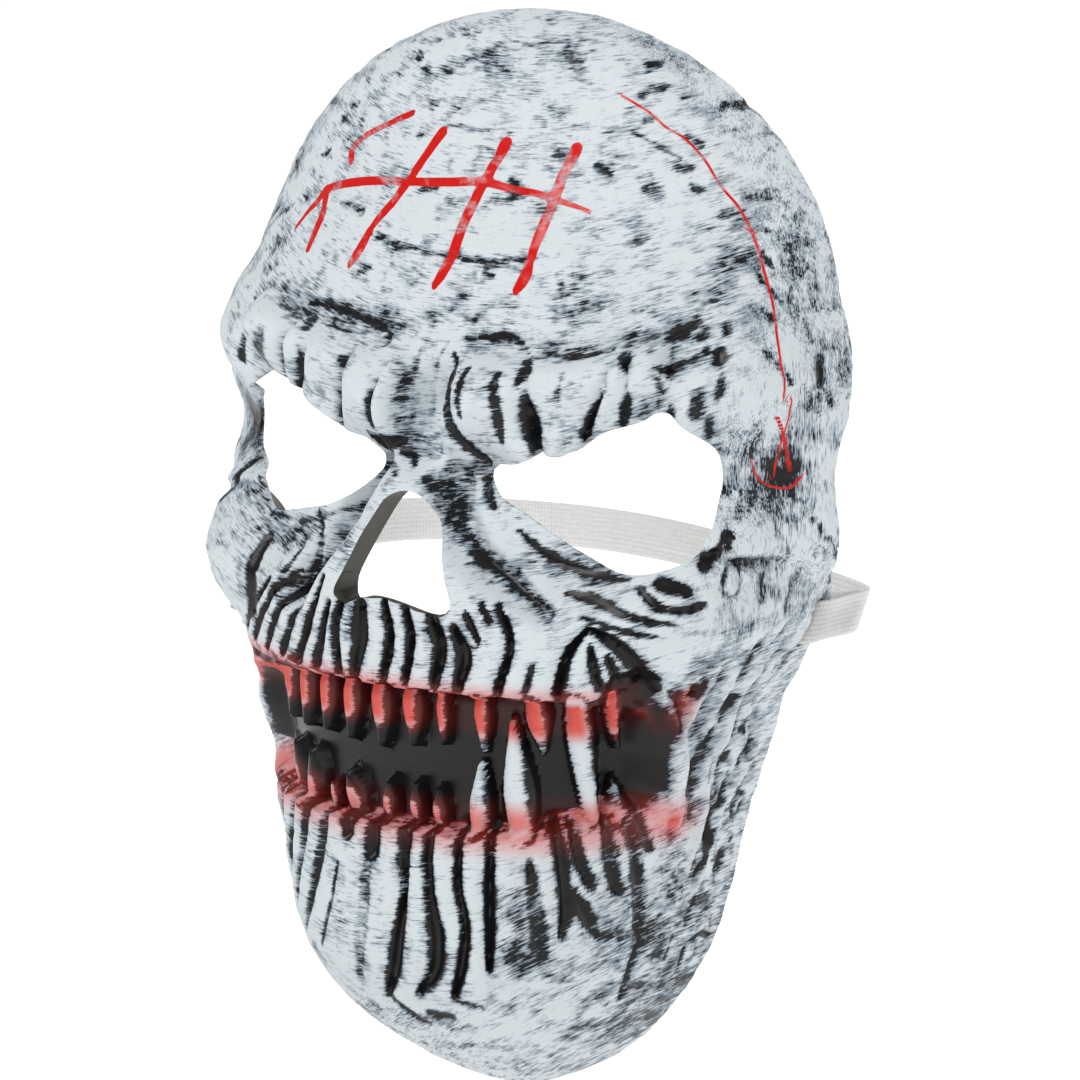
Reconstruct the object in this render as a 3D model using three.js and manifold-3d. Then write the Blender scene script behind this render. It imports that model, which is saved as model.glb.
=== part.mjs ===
// Full-face carnival mask: a hollow moulded skull face with a knitted elastic strap.
// Millimetres, +Z up. The face looks along -Y; the rim lies in the plane y = 0, but for
// the temples, where it is cut forward.
// The origin is the middle of the head opening.
import * as THREE from 'three';
import { mergeVertices } from 'three/addons/utils/BufferGeometryUtils.js';
import Module from 'manifold-3d';

const wasm = await Module();
wasm.setup();

// Shell sizes
const HALF_HEIGHT = 136;
const WALL = 2.1;
const INNER_SHARPNESS = 0.8;
const SECTION_POWER = 2.4;
const FACE_COLUMNS = 38;
const FLANK_COLUMNS = 6;
const FLANK = 0.25;
const HALF_CELL = 1.4;
const TEMPLE_CUT = 10.5;
const TEMPLE_HEIGHT = 29;
const TEMPLE_REACH = 23;
const TEMPLE_FLARE = 8.5;
const FLARE_ARCH = 0.26;

// Strap sizes
const STRAP_WIDTH = 11.5;
const STRAP_THICK = 1.1;
const STRAP_HEIGHT = -6;
const STRAP_STEPS = 90;
const STRAP_LEAN = 0.47;
const SLIT_LENGTH = 13;
const SLIT_WIDTH = 3.4;
const SLIT_FROM_RIM = 5.4;

// Level sections from chin to crown. `wide` and `deep` are the half axes of the
// ellipsoid that touches the face at that latitude; `round` is the fullness of the arc.
const SECTIONS = [
  { latitude: -90.0, wide: 34.0, deep: 78.0, round: 0.45 },
  { latitude: -67.5, wide: 59.7, deep: 87.0, round: 0.42 },
  { latitude: -45.0, wide: 67.3, deep: 98.0, round: 0.50 },
  { latitude: -22.5, wide: 66.6, deep: 75.1, round: 0.38 },
  { latitude: 0.0, wide: 80.2, deep: 69.3, round: 0.44 },
  { latitude: 22.5, wide: 93.0, deep: 60.4, round: 0.42 },
  { latitude: 45.0, wide: 108.1, deep: 42.8, round: 0.72 },
  { latitude: 67.5, wide: 116.0, deep: 42.8, round: 0.55 },
  { latitude: 90.0, wide: 118.9, deep: 42.8, round: 0.55 },
];

// Mesh rows between two heights: closer together where the relief is finer.
const ROW_BANDS = [
  { from: -136, to: -100, rows: 4 },
  { from: -100, to: -54, rows: 8 },
  { from: -54, to: -17, rows: 13 },
  { from: -17, to: 0, rows: 4 },
  { from: 0, to: 62, rows: 13 },
  { from: 62, to: 136, rows: 6 },
];

// Large swellings and hollows, measured on the smooth form, raised along its normal.
const MASSES = [
  { name: 'eye socket', x: 44, z: 29, wide: 41, tall: 30, flat: 0.55, square: 2, rise: -11, both: true },
  { name: 'inner corner', x: 14, z: 35, wide: 15, tall: 13, flat: 0.2, square: 2, rise: -5, both: true },
  { name: 'nose root', x: 0, z: 44, wide: 12, tall: 18, flat: 0.2, square: 2, rise: -9, both: false },
  { name: 'brow', x: 0, z: 57, wide: 68, tall: 28, flat: 0.25, square: 2.5, rise: -5, both: false },
  { name: 'orbit side', x: 77, z: 35, wide: 14, tall: 20, flat: 0.2, square: 2, rise: -8, both: true },
  { name: 'cheekbone', x: 68, z: -1, wide: 21, tall: 17, flat: 0.1, square: 2, rise: 5.5, both: true },
  { name: 'under cheek', x: 62, z: -25, wide: 14, tall: 14, flat: 0.1, square: 2, rise: -4, both: true },
  { name: 'temple', x: 78, z: 58, wide: 22, tall: 16, flat: 0.1, square: 2, rise: 2.5, both: true },
  { name: 'mouth', x: 4, z: -36, wide: 62, tall: 21, flat: 0.7, square: 5, rise: -8, both: false },
];

// Strokes run from (x0, z0) to (x1, z1), bowed sideways at mid length, with a half
// width at each end. A negative rise is a groove.
const BROW_LOBES = [
  { x0: 6, z0: 56, x1: 14, z1: 42, bow: -1, wide0: 7.0, wide1: 8.0, rise: 5.5 },
  { x0: 17, z0: 59, x1: 19, z1: 40, bow: 0, wide0: 6.0, wide1: 6.5, rise: 6.0 },
  { x0: 26, z0: 60, x1: 26, z1: 40, bow: 0, wide0: 6.0, wide1: 6.5, rise: 6.0 },
  { x0: 36, z0: 58, x1: 35, z1: 43, bow: 0, wide0: 7.0, wide1: 6.5, rise: 6.0 },
  { x0: 46, z0: 59, x1: 44, z1: 47, bow: 0, wide0: 6.0, wide1: 5.5, rise: 5.5 },
  { x0: 55, z0: 60, x1: 53, z1: 51, bow: 0, wide0: 5.5, wide1: 4.5, rise: 4.5 },
];
const FACE_GROOVES = [
  { x0: 13, z0: 31, x1: 33, z1: -1, bow: -1, wide0: 8.0, wide1: 7.0, rise: -8.0 },
  { x0: 9, z0: 62.5, x1: 55, z1: 63, bow: 1, wide0: 3.5, wide1: 3.5, rise: -2.0 },
  { x0: 58, z0: 14, x1: 80, z1: 12, bow: -3, wide0: 3.5, wide1: 3.0, rise: -2.0 },
];
const LIP_GROOVES = [
  { x0: 7.5, z0: -1, x1: 7.0, z1: -18, bow: 1.5, wide0: 2.6, wide1: 2.6, rise: -3.0 },
  { x0: 15.5, z0: -2, x1: 15.5, z1: -18, bow: 1.5, wide0: 2.6, wide1: 2.6, rise: -3.0 },
  { x0: 23, z0: -5, x1: 22, z1: -18, bow: 1.5, wide0: 2.6, wide1: 2.4, rise: -2.8 },
  { x0: 31, z0: 2, x1: 32, z1: -17, bow: 2.5, wide0: 2.8, wide1: 2.4, rise: -2.8 },
  { x0: 49, z0: -3, x1: 44, z1: -17, bow: 0, wide0: 2.6, wide1: 2.4, rise: -2.6 },
  { x0: 52, z0: -3, x1: 58, z1: -17, bow: 0, wide0: 2.6, wide1: 2.6, rise: -2.6 },
];
const JAW_GROOVES = [
  { x0: 5, z0: -54, x1: 3, z1: -96, bow: 2, wide0: 3.0, wide1: 2.6, rise: -3.0 },
  { x0: 12.7, z0: -54, x1: 12, z1: -96, bow: 4, wide0: 3.0, wide1: 2.6, rise: -3.2 },
  { x0: 20.3, z0: -54, x1: 20, z1: -95, bow: 3, wide0: 2.6, wide1: 2.4, rise: -2.8 },
  { x0: 28, z0: -54, x1: 29, z1: -84, bow: 0, wide0: 2.6, wide1: 2.4, rise: -2.8 },
  { x0: 36, z0: -58, x1: 37, z1: -88, bow: 0, wide0: 3.4, wide1: 3.4, rise: -2.2 },
  { x0: 42.5, z0: -53, x1: 44, z1: -80, bow: 0, wide0: 2.6, wide1: 2.4, rise: -2.4 },
  { x0: 49, z0: -53, x1: 50, z1: -76, bow: 0, wide0: 2.6, wide1: 2.4, rise: -2.4 },
];

// Teeth: gum height to tip height, half width at each.
const UPPER_GUM = -19;
const LOWER_GUM = -53;
const TOOTH_RISE = 4.5;
const UPPER_TEETH = [
  { x: -47, tip: -36, gumWide: 4.0, tipWide: 2.6 },
  { x: -38.5, tip: -35, gumWide: 4.0, tipWide: 2.6 },
  { x: -30, tip: -34, gumWide: 4.0, tipWide: 2.6 },
  { x: -21.5, tip: -34, gumWide: 4.0, tipWide: 2.6 },
  { x: -13.5, tip: -34, gumWide: 3.8, tipWide: 2.6 },
  { x: -4, tip: -34, gumWide: 4.0, tipWide: 2.6 },
  { x: 5, tip: -33, gumWide: 4.2, tipWide: 2.4 },
  { x: 14.2, tip: -32, gumWide: 2.8, tipWide: 2.2 },
  { x: 25, tip: -33, gumWide: 3.4, tipWide: 2.2 },
  { x: 39, tip: -33, gumWide: 3.6, tipWide: 2.2 },
  { x: 48.5, tip: -48, gumWide: 4.0, tipWide: 2.2 },
  { x: 55.5, tip: -33, gumWide: 2.8, tipWide: 2.2 },
];
const LOWER_TEETH = [
  { x: -39, tip: -44, gumWide: 4.2, tipWide: 2.8 },
  { x: -30, tip: -44, gumWide: 4.6, tipWide: 2.8 },
  { x: -20, tip: -49, gumWide: 2.6, tipWide: 2.4 },
  { x: -13, tip: -48, gumWide: 4.2, tipWide: 3.0 },
  { x: -3, tip: -47, gumWide: 3.2, tipWide: 2.4 },
  { x: 5.5, tip: -46, gumWide: 3.2, tipWide: 2.4 },
  { x: 12.5, tip: -47, gumWide: 3.2, tipWide: 2.4 },
  { x: 24, tip: -41, gumWide: 4.2, tipWide: 2.4 },
  { x: 34, tip: -29, gumWide: 5.0, tipWide: 2.2 },
  { x: 53.5, tip: -45, gumWide: 2.8, tipWide: 2.2 },
];

// Openings seen from the front: clockwise rows of (x, z).
const RIGHT_EYE = [
  { x: 17, z: 32 }, { x: 24.5, z: 33.5 }, { x: 28, z: 34.5 }, { x: 33, z: 36 }, { x: 37.5, z: 37 },
  { x: 41, z: 41 }, { x: 50.5, z: 44.5 }, { x: 61, z: 49.5 }, { x: 67, z: 44 }, { x: 71, z: 38 },
  { x: 71.5, z: 28 }, { x: 71, z: 20 }, { x: 65, z: 12.5 }, { x: 59, z: 10.2 }, { x: 52, z: 10.6 },
  { x: 45, z: 13.2 }, { x: 36, z: 18.3 }, { x: 27.5, z: 23.5 }, { x: 20, z: 27 },
];
const LEFT_EYE = [
  { x: -14, z: 31.5 }, { x: -17, z: 26.5 }, { x: -21, z: 22.8 }, { x: -27, z: 19.5 }, { x: -34, z: 16.5 },
  { x: -43, z: 14.5 }, { x: -50, z: 12.6 }, { x: -57, z: 16 }, { x: -63.5, z: 21.3 }, { x: -68, z: 27 },
  { x: -67.5, z: 34 }, { x: -64.5, z: 40 }, { x: -60.5, z: 45 }, { x: -56, z: 47.2 }, { x: -51.5, z: 46.5 },
  { x: -44.5, z: 42.6 }, { x: -37.5, z: 39 }, { x: -31, z: 37.5 }, { x: -25, z: 35.3 }, { x: -18, z: 33.8 },
];
const NOSE_HOLE = [
  { x: 3, z: 27 }, { x: 6.5, z: 26 }, { x: 10.4, z: 21 }, { x: 13.6, z: 14.5 }, { x: 17, z: 7 },
  { x: 19, z: 0.5 }, { x: 16, z: -1.5 }, { x: 8, z: -0.3 }, { x: 0, z: 1 }, { x: -8, z: 0 },
  { x: -13, z: -2 }, { x: -15.5, z: 0 }, { x: -13, z: 6 }, { x: -9.5, z: 13 }, { x: -5.5, z: 20 }, { x: -2, z: 25 },
];

// Middle line of the strap seen from above, from the sewn tail inside one slit,
// out through the slit, back round the head space and in at the other side.
const STRAP_HALF = [
  { x: 82.2, y: 11.2 }, { x: 81.0, y: 7.0 }, { x: 77.8, y: 3.2 }, { x: 75.9, y: -0.5 }, { x: 75.6, y: -3.4 },
  { x: 77.2, y: -5.7 }, { x: 80.7, y: -5.6 }, { x: 82.1, y: -3.2 }, { x: 82.5, y: 2.0 },
  { x: 83.2, y: 7.0 }, { x: 83.8, y: 11.0 }, { x: 82.4, y: 15.0 },
];
const STRAP_BACK = [{ x: 45, y: 35 }, { x: 12, y: 51 }, { x: -21, y: 56 }, { x: -50, y: 50.5 }, { x: -70, y: 38 }];

// Value of one section column at a height, by a smooth curve through the rows.
function along(column, height) {
  const latitude = THREE.MathUtils.radToDeg(Math.asin(THREE.MathUtils.clamp(height / HALF_HEIGHT, -1, 1)));
  const last = SECTIONS.length - 1;
  const place = ((latitude + 90) / 180) * last;
  const row = Math.min(Math.floor(place), last - 1);
  const t = place - row;
  const at = (k) => SECTIONS[THREE.MathUtils.clamp(row + k, 0, last)][column];
  const [p0, p1, p2, p3] = [at(-1), at(0), at(1), at(2)];
  return 0.5 * (2 * p1 + (p2 - p0) * t + (2 * p0 - 5 * p1 + 4 * p2 - p3) * t * t
    + (3 * p1 - p0 - 3 * p2 + p3) * t * t * t);
}

function levelShrink(height) {
  return Math.sqrt(Math.max(1 - (height / HALF_HEIGHT) ** 2, 0));
}

// Share of the temple cut at a height: whole beside the eyes, none at brow and cheek.
function templeShare(z) {
  return Math.exp(-(((z - TEMPLE_HEIGHT) / TEMPLE_REACH) ** 4));
}

// Rise of a level section from the rim (0) to the middle of the face (1).
function arch(x, z) {
  const side = Math.abs(x) / Math.max(along('wide', z) * levelShrink(z), 1e-6);
  return Math.max(1 - side ** SECTION_POWER, 0) ** along('round', z);
}

// How far the smooth form stands in front of the rim plane.
function depth(x, z) {
  return THREE.MathUtils.lerp(TEMPLE_CUT * templeShare(z), along('deep', z) * levelShrink(z), arch(x, z));
}

function formNormal(x, z) {
  const step = 0.05;
  const slopeX = (depth(x + step, z) - depth(x - step, z)) / (2 * step);
  const slopeZ = (depth(x, z + step) - depth(x, z - step)) / (2 * step);
  return new THREE.Vector3(-slopeX, -1, -slopeZ).normalize();
}

function massHeight(mass, x, z) {
  const across = Math.abs((mass.both ? Math.abs(x) : x) - mass.x) / mass.wide;
  const up = Math.abs(z - mass.z) / mass.tall;
  const reach = (across ** mass.square + up ** mass.square) ** (1 / mass.square);
  return mass.rise * THREE.MathUtils.smoothstep(1 - reach, 0, 1 - mass.flat);
}

function strokeHeight(stroke, x, z) {
  const run = new THREE.Vector2(stroke.x1 - stroke.x0, stroke.z1 - stroke.z0);
  const length = run.length();
  run.divideScalar(length);
  const t = THREE.MathUtils.clamp(((x - stroke.x0) * run.x + (z - stroke.z0) * run.y) / length, 0, 1);
  const bow = stroke.bow * 4 * t * (1 - t);
  const middleX = stroke.x0 + run.x * length * t - run.y * bow;
  const middleZ = stroke.z0 + run.y * length * t + run.x * bow;
  const wide = THREE.MathUtils.lerp(stroke.wide0, stroke.wide1, t);
  const off = Math.hypot(x - middleX, z - middleZ) / wide;
  return stroke.rise * THREE.MathUtils.smoothstep(1 - off, 0, stroke.rise > 0 ? 0.7 : 1);
}

function toothStroke(tooth, gum) {
  return {
    x0: tooth.x, z0: gum, x1: tooth.x, z1: tooth.tip, bow: 0,
    wide0: tooth.gumWide, wide1: tooth.tipWide, rise: TOOTH_RISE,
  };
}

const TEETH = [
  ...UPPER_TEETH.map((tooth) => toothStroke(tooth, UPPER_GUM)),
  ...LOWER_TEETH.map((tooth) => toothStroke(tooth, LOWER_GUM)),
];
const GROOVES = [...LIP_GROOVES, ...JAW_GROOVES];

function broadRelief(x, z) {
  const sunk = Math.min(0, ...FACE_GROOVES.map((groove) => strokeHeight(groove, Math.abs(x), z)));
  const flare = TEMPLE_FLARE * templeShare(z) * (1 - THREE.MathUtils.smoothstep(arch(x, z), 0, FLARE_ARCH));
  return MASSES.reduce((sum, mass) => sum + massHeight(mass, x, z), sunk + flare);
}

function sharpRelief(x, z) {
  const side = Math.abs(x);
  let raised = 0;
  for (const lobe of BROW_LOBES) raised = Math.max(raised, strokeHeight(lobe, side, z));
  for (const tooth of TEETH) raised = Math.max(raised, strokeHeight(tooth, x, z));
  let sunk = 0;
  for (const groove of GROOVES) sunk = Math.min(sunk, strokeHeight(groove, side, z));
  return raised + sunk;
}

// Small relief, evened out over one mesh cell.
function fineRelief(x, z) {
  let sum = 0;
  for (const across of [-1, 0, 1]) {
    for (const up of [-1, 0, 1]) sum += sharpRelief(x + across * HALF_CELL, z + up * HALF_CELL);
  }
  return sum / 9;
}

// Height of a mesh row: rows are shared out over the bands of ROW_BANDS.
function rowHeight(row) {
  let left = row;
  for (const band of ROW_BANDS) {
    if (left <= band.rows) return THREE.MathUtils.lerp(band.from, band.to, left / band.rows);
    left -= band.rows;
  }
  return HALF_HEIGHT;
}

const ROWS = ROW_BANDS.reduce((sum, band) => sum + band.rows, 0);

// Place of a mesh column: the flanks take fewer columns than the face.
function columnPlace(column) {
  const face = 1 - FLANK;
  if (column < FLANK_COLUMNS) return -1 + (FLANK * column) / FLANK_COLUMNS;
  if (column > FLANK_COLUMNS + FACE_COLUMNS) return face + (FLANK * (column - FLANK_COLUMNS - FACE_COLUMNS)) / FLANK_COLUMNS;
  return -face + (2 * face * (column - FLANK_COLUMNS)) / FACE_COLUMNS;
}

const COLUMNS = FACE_COLUMNS + 2 * FLANK_COLUMNS;

// A point of the shell. u and v run over a square that is spread onto a disc; the
// disc's edge is the rim. `outer` picks the outer or the inner face of the wall.
function shellPoint(u, v, outer) {
  const across = u * Math.sqrt(1 - (v * v) / 2);
  const z = HALF_HEIGHT * v * Math.sqrt(1 - (u * u) / 2);
  const x = along('wide', z) * across;
  const onRim = Math.abs(u) > 0.9999 || Math.abs(v) > 0.9999;
  const rise = outer
    ? broadRelief(x, z) + fineRelief(x, z)
    : broadRelief(x, z) + INNER_SHARPNESS * fineRelief(x, z) - WALL;
  const point = new THREE.Vector3(x, -depth(x, z), z).addScaledVector(formNormal(x, z), rise);
  if (onRim) point.y = -TEMPLE_CUT * templeShare(z);
  return point;
}

function bareGeometry(geometry) {
  const bare = geometry.clone();
  bare.deleteAttribute('normal');
  bare.deleteAttribute('uv');
  return mergeVertices(bare, 1e-4);
}

function solidOf(geometry) {
  const bare = bareGeometry(geometry);
  return new wasm.Manifold(new wasm.Mesh({
    numProp: 3,
    vertProperties: new Float32Array(bare.attributes.position.array),
    triVerts: new Uint32Array(bare.index.array),
  }));
}

function geometryOf(solid) {
  const mesh = solid.getMesh();
  const geometry = new THREE.BufferGeometry();
  geometry.setAttribute('position', new THREE.BufferAttribute(new Float32Array(mesh.vertProperties), 3));
  geometry.setIndex(new THREE.BufferAttribute(new Uint32Array(mesh.triVerts), 1));
  geometry.computeVertexNormals();
  return geometry;
}

// The wall: a flat slab of square cells bent onto the face.
function shellSolid() {
  const slab = bareGeometry(new THREE.BoxGeometry(2, 2, 2, COLUMNS, ROWS, 1));
  const place = slab.attributes.position;
  for (let i = 0; i < place.count; i += 1) {
    const column = Math.round(((place.getX(i) + 1) / 2) * COLUMNS);
    const row = Math.round(((place.getY(i) + 1) / 2) * ROWS);
    const point = shellPoint(columnPlace(column), rowHeight(row) / HALF_HEIGHT, place.getZ(i) > 0);
    place.setXYZ(i, point.x, point.y, point.z);
  }
  return solidOf(slab);
}

// A prism through the wall, cut from front to back.
function openingSolid(outline) {
  const curve = new THREE.CatmullRomCurve3(outline.map((p) => new THREE.Vector3(p.x, p.z, 0)), true);
  const shape = new THREE.Shape(curve.getPoints(outline.length * 2).slice(0, -1).map((p) => new THREE.Vector2(p.x, p.y)));
  const prism = new THREE.ExtrudeGeometry(shape, { depth: 100, steps: 1, bevelEnabled: false });
  prism.rotateX(Math.PI / 2);
  prism.translate(0, 5, 0);
  return solidOf(prism);
}

function slitSolid(side) {
  const slit = new THREE.BoxGeometry(16, SLIT_WIDTH, SLIT_LENGTH);
  slit.translate(side * 79, -SLIT_FROM_RIM, STRAP_HEIGHT);
  return solidOf(slit);
}

function maskShell() {
  let shell = shellSolid();
  for (const outline of [RIGHT_EYE, LEFT_EYE, NOSE_HOLE]) shell = shell.subtract(openingSolid(outline));
  for (const side of [-1, 1]) shell = shell.subtract(slitSolid(side));
  return geometryOf(shell);
}

// The band: its middle line thickened to both sides, raised by its width, and
// leaned by the slits to lie along the wall.
function elasticStrap() {
  const knots = [
    ...STRAP_HALF.map((p) => new THREE.Vector3(p.x, p.y, 0)),
    ...STRAP_BACK.map((p) => new THREE.Vector3(p.x, p.y, 0)),
    ...[...STRAP_HALF].reverse().map((p) => new THREE.Vector3(-p.x, p.y, 0)),
  ];
  const line = new THREE.CatmullRomCurve3(knots, false, 'centripetal');
  const near = [];
  const far = [];
  for (let i = 0; i <= STRAP_STEPS; i += 1) {
    const point = line.getPointAt(i / STRAP_STEPS);
    const run = line.getTangentAt(i / STRAP_STEPS);
    const offset = new THREE.Vector2(-run.y, run.x).multiplyScalar(STRAP_THICK / 2);
    near.push(new THREE.Vector2(point.x, point.y).add(offset));
    far.push(new THREE.Vector2(point.x, point.y).sub(offset));
  }
  const shape = new THREE.Shape([...near, ...far.reverse()]);
  const band = new THREE.ExtrudeGeometry(shape, { depth: STRAP_WIDTH, steps: 1, bevelEnabled: false });
  band.translate(0, 0, STRAP_HEIGHT - STRAP_WIDTH / 2);
  const place = band.attributes.position;
  for (let i = 0; i < place.count; i += 1) {
    const lean = STRAP_LEAN * (1 - THREE.MathUtils.smoothstep(place.getY(i), -2, 40)) * (place.getX(i) / 80);
    place.setX(i, place.getX(i) + lean * (place.getZ(i) - STRAP_HEIGHT));
  }
  return geometryOf(solidOf(band));
}

function part(name, geometry, colour, roughness) {
  const mesh = new THREE.Mesh(geometry, new THREE.MeshStandardMaterial({ color: colour, roughness, metalness: 0 }));
  mesh.name = name;
  return mesh;
}

const mask = new THREE.Group();
mask.name = 'halloween_mask';
mask.add(part('mask_shell', maskShell(), 0xb9c2c8, 0.75));
mask.add(part('elastic_strap', elasticStrap(), 0xd9d5d2, 0.9));

export default mask;
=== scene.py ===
"""Looks of a hollow skull-face carnival mask and its knitted elastic strap.

Every size on the face is in millimetres and becomes metres where a mesh is written.
The face looks along -Y, +Z is up, and the origin is the middle of the head opening.
"""
import logging
import math
from dataclasses import dataclass
from enum import Enum
from typing import Any, Callable, Mapping, Sequence

import bmesh
import bpy
import numpy as np
from mathutils import Matrix, Vector, noise


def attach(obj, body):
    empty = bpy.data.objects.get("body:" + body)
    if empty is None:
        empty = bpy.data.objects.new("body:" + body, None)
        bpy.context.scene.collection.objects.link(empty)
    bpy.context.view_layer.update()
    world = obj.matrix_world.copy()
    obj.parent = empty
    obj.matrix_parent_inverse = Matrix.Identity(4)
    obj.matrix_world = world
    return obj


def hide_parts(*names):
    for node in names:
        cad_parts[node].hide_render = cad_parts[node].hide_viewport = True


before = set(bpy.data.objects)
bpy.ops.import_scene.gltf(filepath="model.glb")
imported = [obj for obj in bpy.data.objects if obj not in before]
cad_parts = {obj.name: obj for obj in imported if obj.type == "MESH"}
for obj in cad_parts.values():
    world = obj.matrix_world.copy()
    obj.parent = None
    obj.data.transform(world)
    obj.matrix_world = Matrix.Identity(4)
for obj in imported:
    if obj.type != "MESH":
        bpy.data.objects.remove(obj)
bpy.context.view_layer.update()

LOG = logging.getLogger("mask")
MM = 0.001
Array = np.ndarray
Point = tuple[float, float]
Edge = bmesh.types.BMEdge

# Given to places that a stroke doesn't reach: its cover, its distance, a scar's cover, and a depth
UNCOVERED = -9.0
AWAY = 9.0
NO_SCAR = -4.0
NOWHERE = -99.0

# Places on the square grid past this share lie on its border
BORDER = 0.9999

# Sockets of a Mix node go by number, because its number and colour sockets share their names
SHARE = 0
FLOAT_A, FLOAT_B = 2, 3
COLOUR_A, COLOUR_B, COLOUR_OUT = 6, 7, 2

# Node settings that come back
MULTIPLY = {"operation": "MULTIPLY"}
MULTIPLY_ADD = {"operation": "MULTIPLY_ADD"}
SOFT = {"interpolation_type": "SMOOTHSTEP"}
COLOURS = {"data_type": "RGBA"}


class Side(Enum):
    """Which faces of the shell a material slot covers."""

    OUTER = 0
    INNER = 1


class Coat(Enum):
    """Values kept at each point of the shell for its paint."""

    BARE = "bare"
    GUM = "gum"
    SCAR = "scar"
    HAIRLINE = "hairline"
    HAIRLINE_NEAR = "hairline_near"
    FLANK = "flank"
    CHIN = "chin"


# Shared shaping functions


def linear(hex_colour: str) -> tuple[float, float, float, float]:
    """Turns an sRGB hex colour to linear.

    Args:
        hex_colour: six hex digits after a hash sign.

    Returns:
        Linear red, green, blue and an alpha of 1.
    """
    parts = [int(hex_colour[i:i + 2], 16) / 255 for i in (1, 3, 5)]
    red, green, blue = (p / 12.92 if p <= 0.04045 else ((p + 0.055) / 1.055) ** 2.4 for p in parts)
    return red, green, blue, 1.0


def smooth(value: Array, low: float, high: float) -> Array:
    """Rises softly from 0 at low to 1 at high."""
    t = np.clip((value - low) / (high - low), 0.0, 1.0)
    return t * t * (3.0 - 2.0 * t)


def dome(cover: Array) -> Array:
    """Round section of a raised stroke, 0 at its edge and 1 on its line."""
    share = np.clip(cover, 0.0, 1.0)
    return np.sqrt(share * (2.0 - share))


def blend(cover: Array, core: Point, shoulder: Point, core_share: float) -> Array:
    """Section of a stroke from 0 to 1, with a core and a wide soft shoulder."""
    return core_share * smooth(cover, *core) + (1.0 - core_share) * smooth(cover, *shoulder)


def smooth_line(points: Sequence[Sequence[float]], steps: int, closed: bool = False) -> Array:
    """Draws a centripetal curve through points.

    Args:
        points: the knots; the first two columns set the spacing, further ones ride along.
        steps: pieces between two knots.
        closed: whether the last knot joins the first.

    Returns:
        One row per drawn point.
    """
    knots = np.array(points, float)
    if closed:
        knots = np.vstack([knots[-1], knots, knots[0], knots[1]])
    else:
        knots = np.vstack([2 * knots[0] - knots[1], knots, 2 * knots[-1] - knots[-2]])
    drawn = []
    for p0, p1, p2, p3 in zip(knots, knots[1:], knots[2:], knots[3:]):
        gaps = [max(np.hypot(*(b - a)[:2]), 1e-6) ** 0.5 for a, b in ((p0, p1), (p1, p2), (p2, p3))]
        t0, t1, t2, t3 = 0.0, gaps[0], gaps[0] + gaps[1], sum(gaps)
        for t in np.linspace(t1, t2, steps, endpoint=False):
            a1 = (t1 - t) / (t1 - t0) * p0 + (t - t0) / (t1 - t0) * p1
            a2 = (t2 - t) / (t2 - t1) * p1 + (t - t1) / (t2 - t1) * p2
            a3 = (t3 - t) / (t3 - t2) * p2 + (t - t2) / (t3 - t2) * p3
            b1 = (t2 - t) / (t2 - t0) * a1 + (t - t0) / (t2 - t0) * a2
            b2 = (t3 - t) / (t3 - t1) * a2 + (t - t1) / (t3 - t1) * a3
            drawn.append((t2 - t) / (t2 - t1) * b1 + (t - t1) / (t2 - t1) * b2)
    if not closed:
        drawn.append(knots[-2])
    return np.array(drawn)


def fractal(x: Array, y: Array, z: Array, octaves: int) -> Array:
    """Layered noise of about -1 to 1 at places in noise units."""
    places = zip(x.tolist(), y.tolist(), z.tolist())
    return np.array([noise.fractal(place, 0.8, 2.1, octaves) for place in places])


def set_inputs(node: bpy.types.Node, inputs: Mapping[int | str, Any]) -> None:
    """Sets or links inputs of a node.

    Args:
        node: the node.
        inputs: a value or an output socket for each input.
    """
    for key, value in inputs.items():
        if isinstance(value, bpy.types.NodeSocket):
            node.id_data.links.new(value, node.inputs[key])
        else:
            node.inputs[key].default_value = value


def add_node(
    tree: bpy.types.NodeTree,
    kind: str,
    settings: Mapping[str, Any] | None = None,
    inputs: Mapping[int | str, Any] | None = None,
    output: int | str = 0,
) -> bpy.types.NodeSocket:
    """Adds one shader node with its settings and links.

    Args:
        tree: the node tree.
        kind: the node's type name without its first word.
        settings: properties to set.
        inputs: a value or an output socket for each input.
        output: the output that is needed.

    Returns:
        That output of the new node.
    """
    node = tree.nodes.new(f"ShaderNode{kind}")
    for name, value in (settings or {}).items():
        setattr(node, name, value)
    set_inputs(node, inputs or {})
    return node.outputs[output]


def new_material(name: str) -> tuple[bpy.types.Material, bpy.types.NodeTree, bpy.types.Node]:
    """Makes an empty node material.

    Args:
        name: the material's name.

    Returns:
        The material, its tree and its main shader.
    """
    material = bpy.data.materials.new(name)
    material.use_nodes = True
    tree = material.node_tree
    return material, tree, tree.nodes["Principled BSDF"]


def new_object(name: str, bm: bmesh.types.BMesh) -> bpy.types.Object:
    """Turns a bmesh into an object of the scene.

    Args:
        name: the object's name.
        bm: the finished bmesh, which is freed.

    Returns:
        The linked object.
    """
    mesh = bpy.data.meshes.new(name)
    bm.to_mesh(mesh)
    bm.free()
    piece = bpy.data.objects.new(name, mesh)
    bpy.context.scene.collection.objects.link(piece)
    return piece


# The smooth form of the face


@dataclass(frozen=True)
class Section:
    """A level section: half axes of the ellipsoid it lies on and fullness of its arc."""

    wide: float
    deep: float
    round: float


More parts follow.
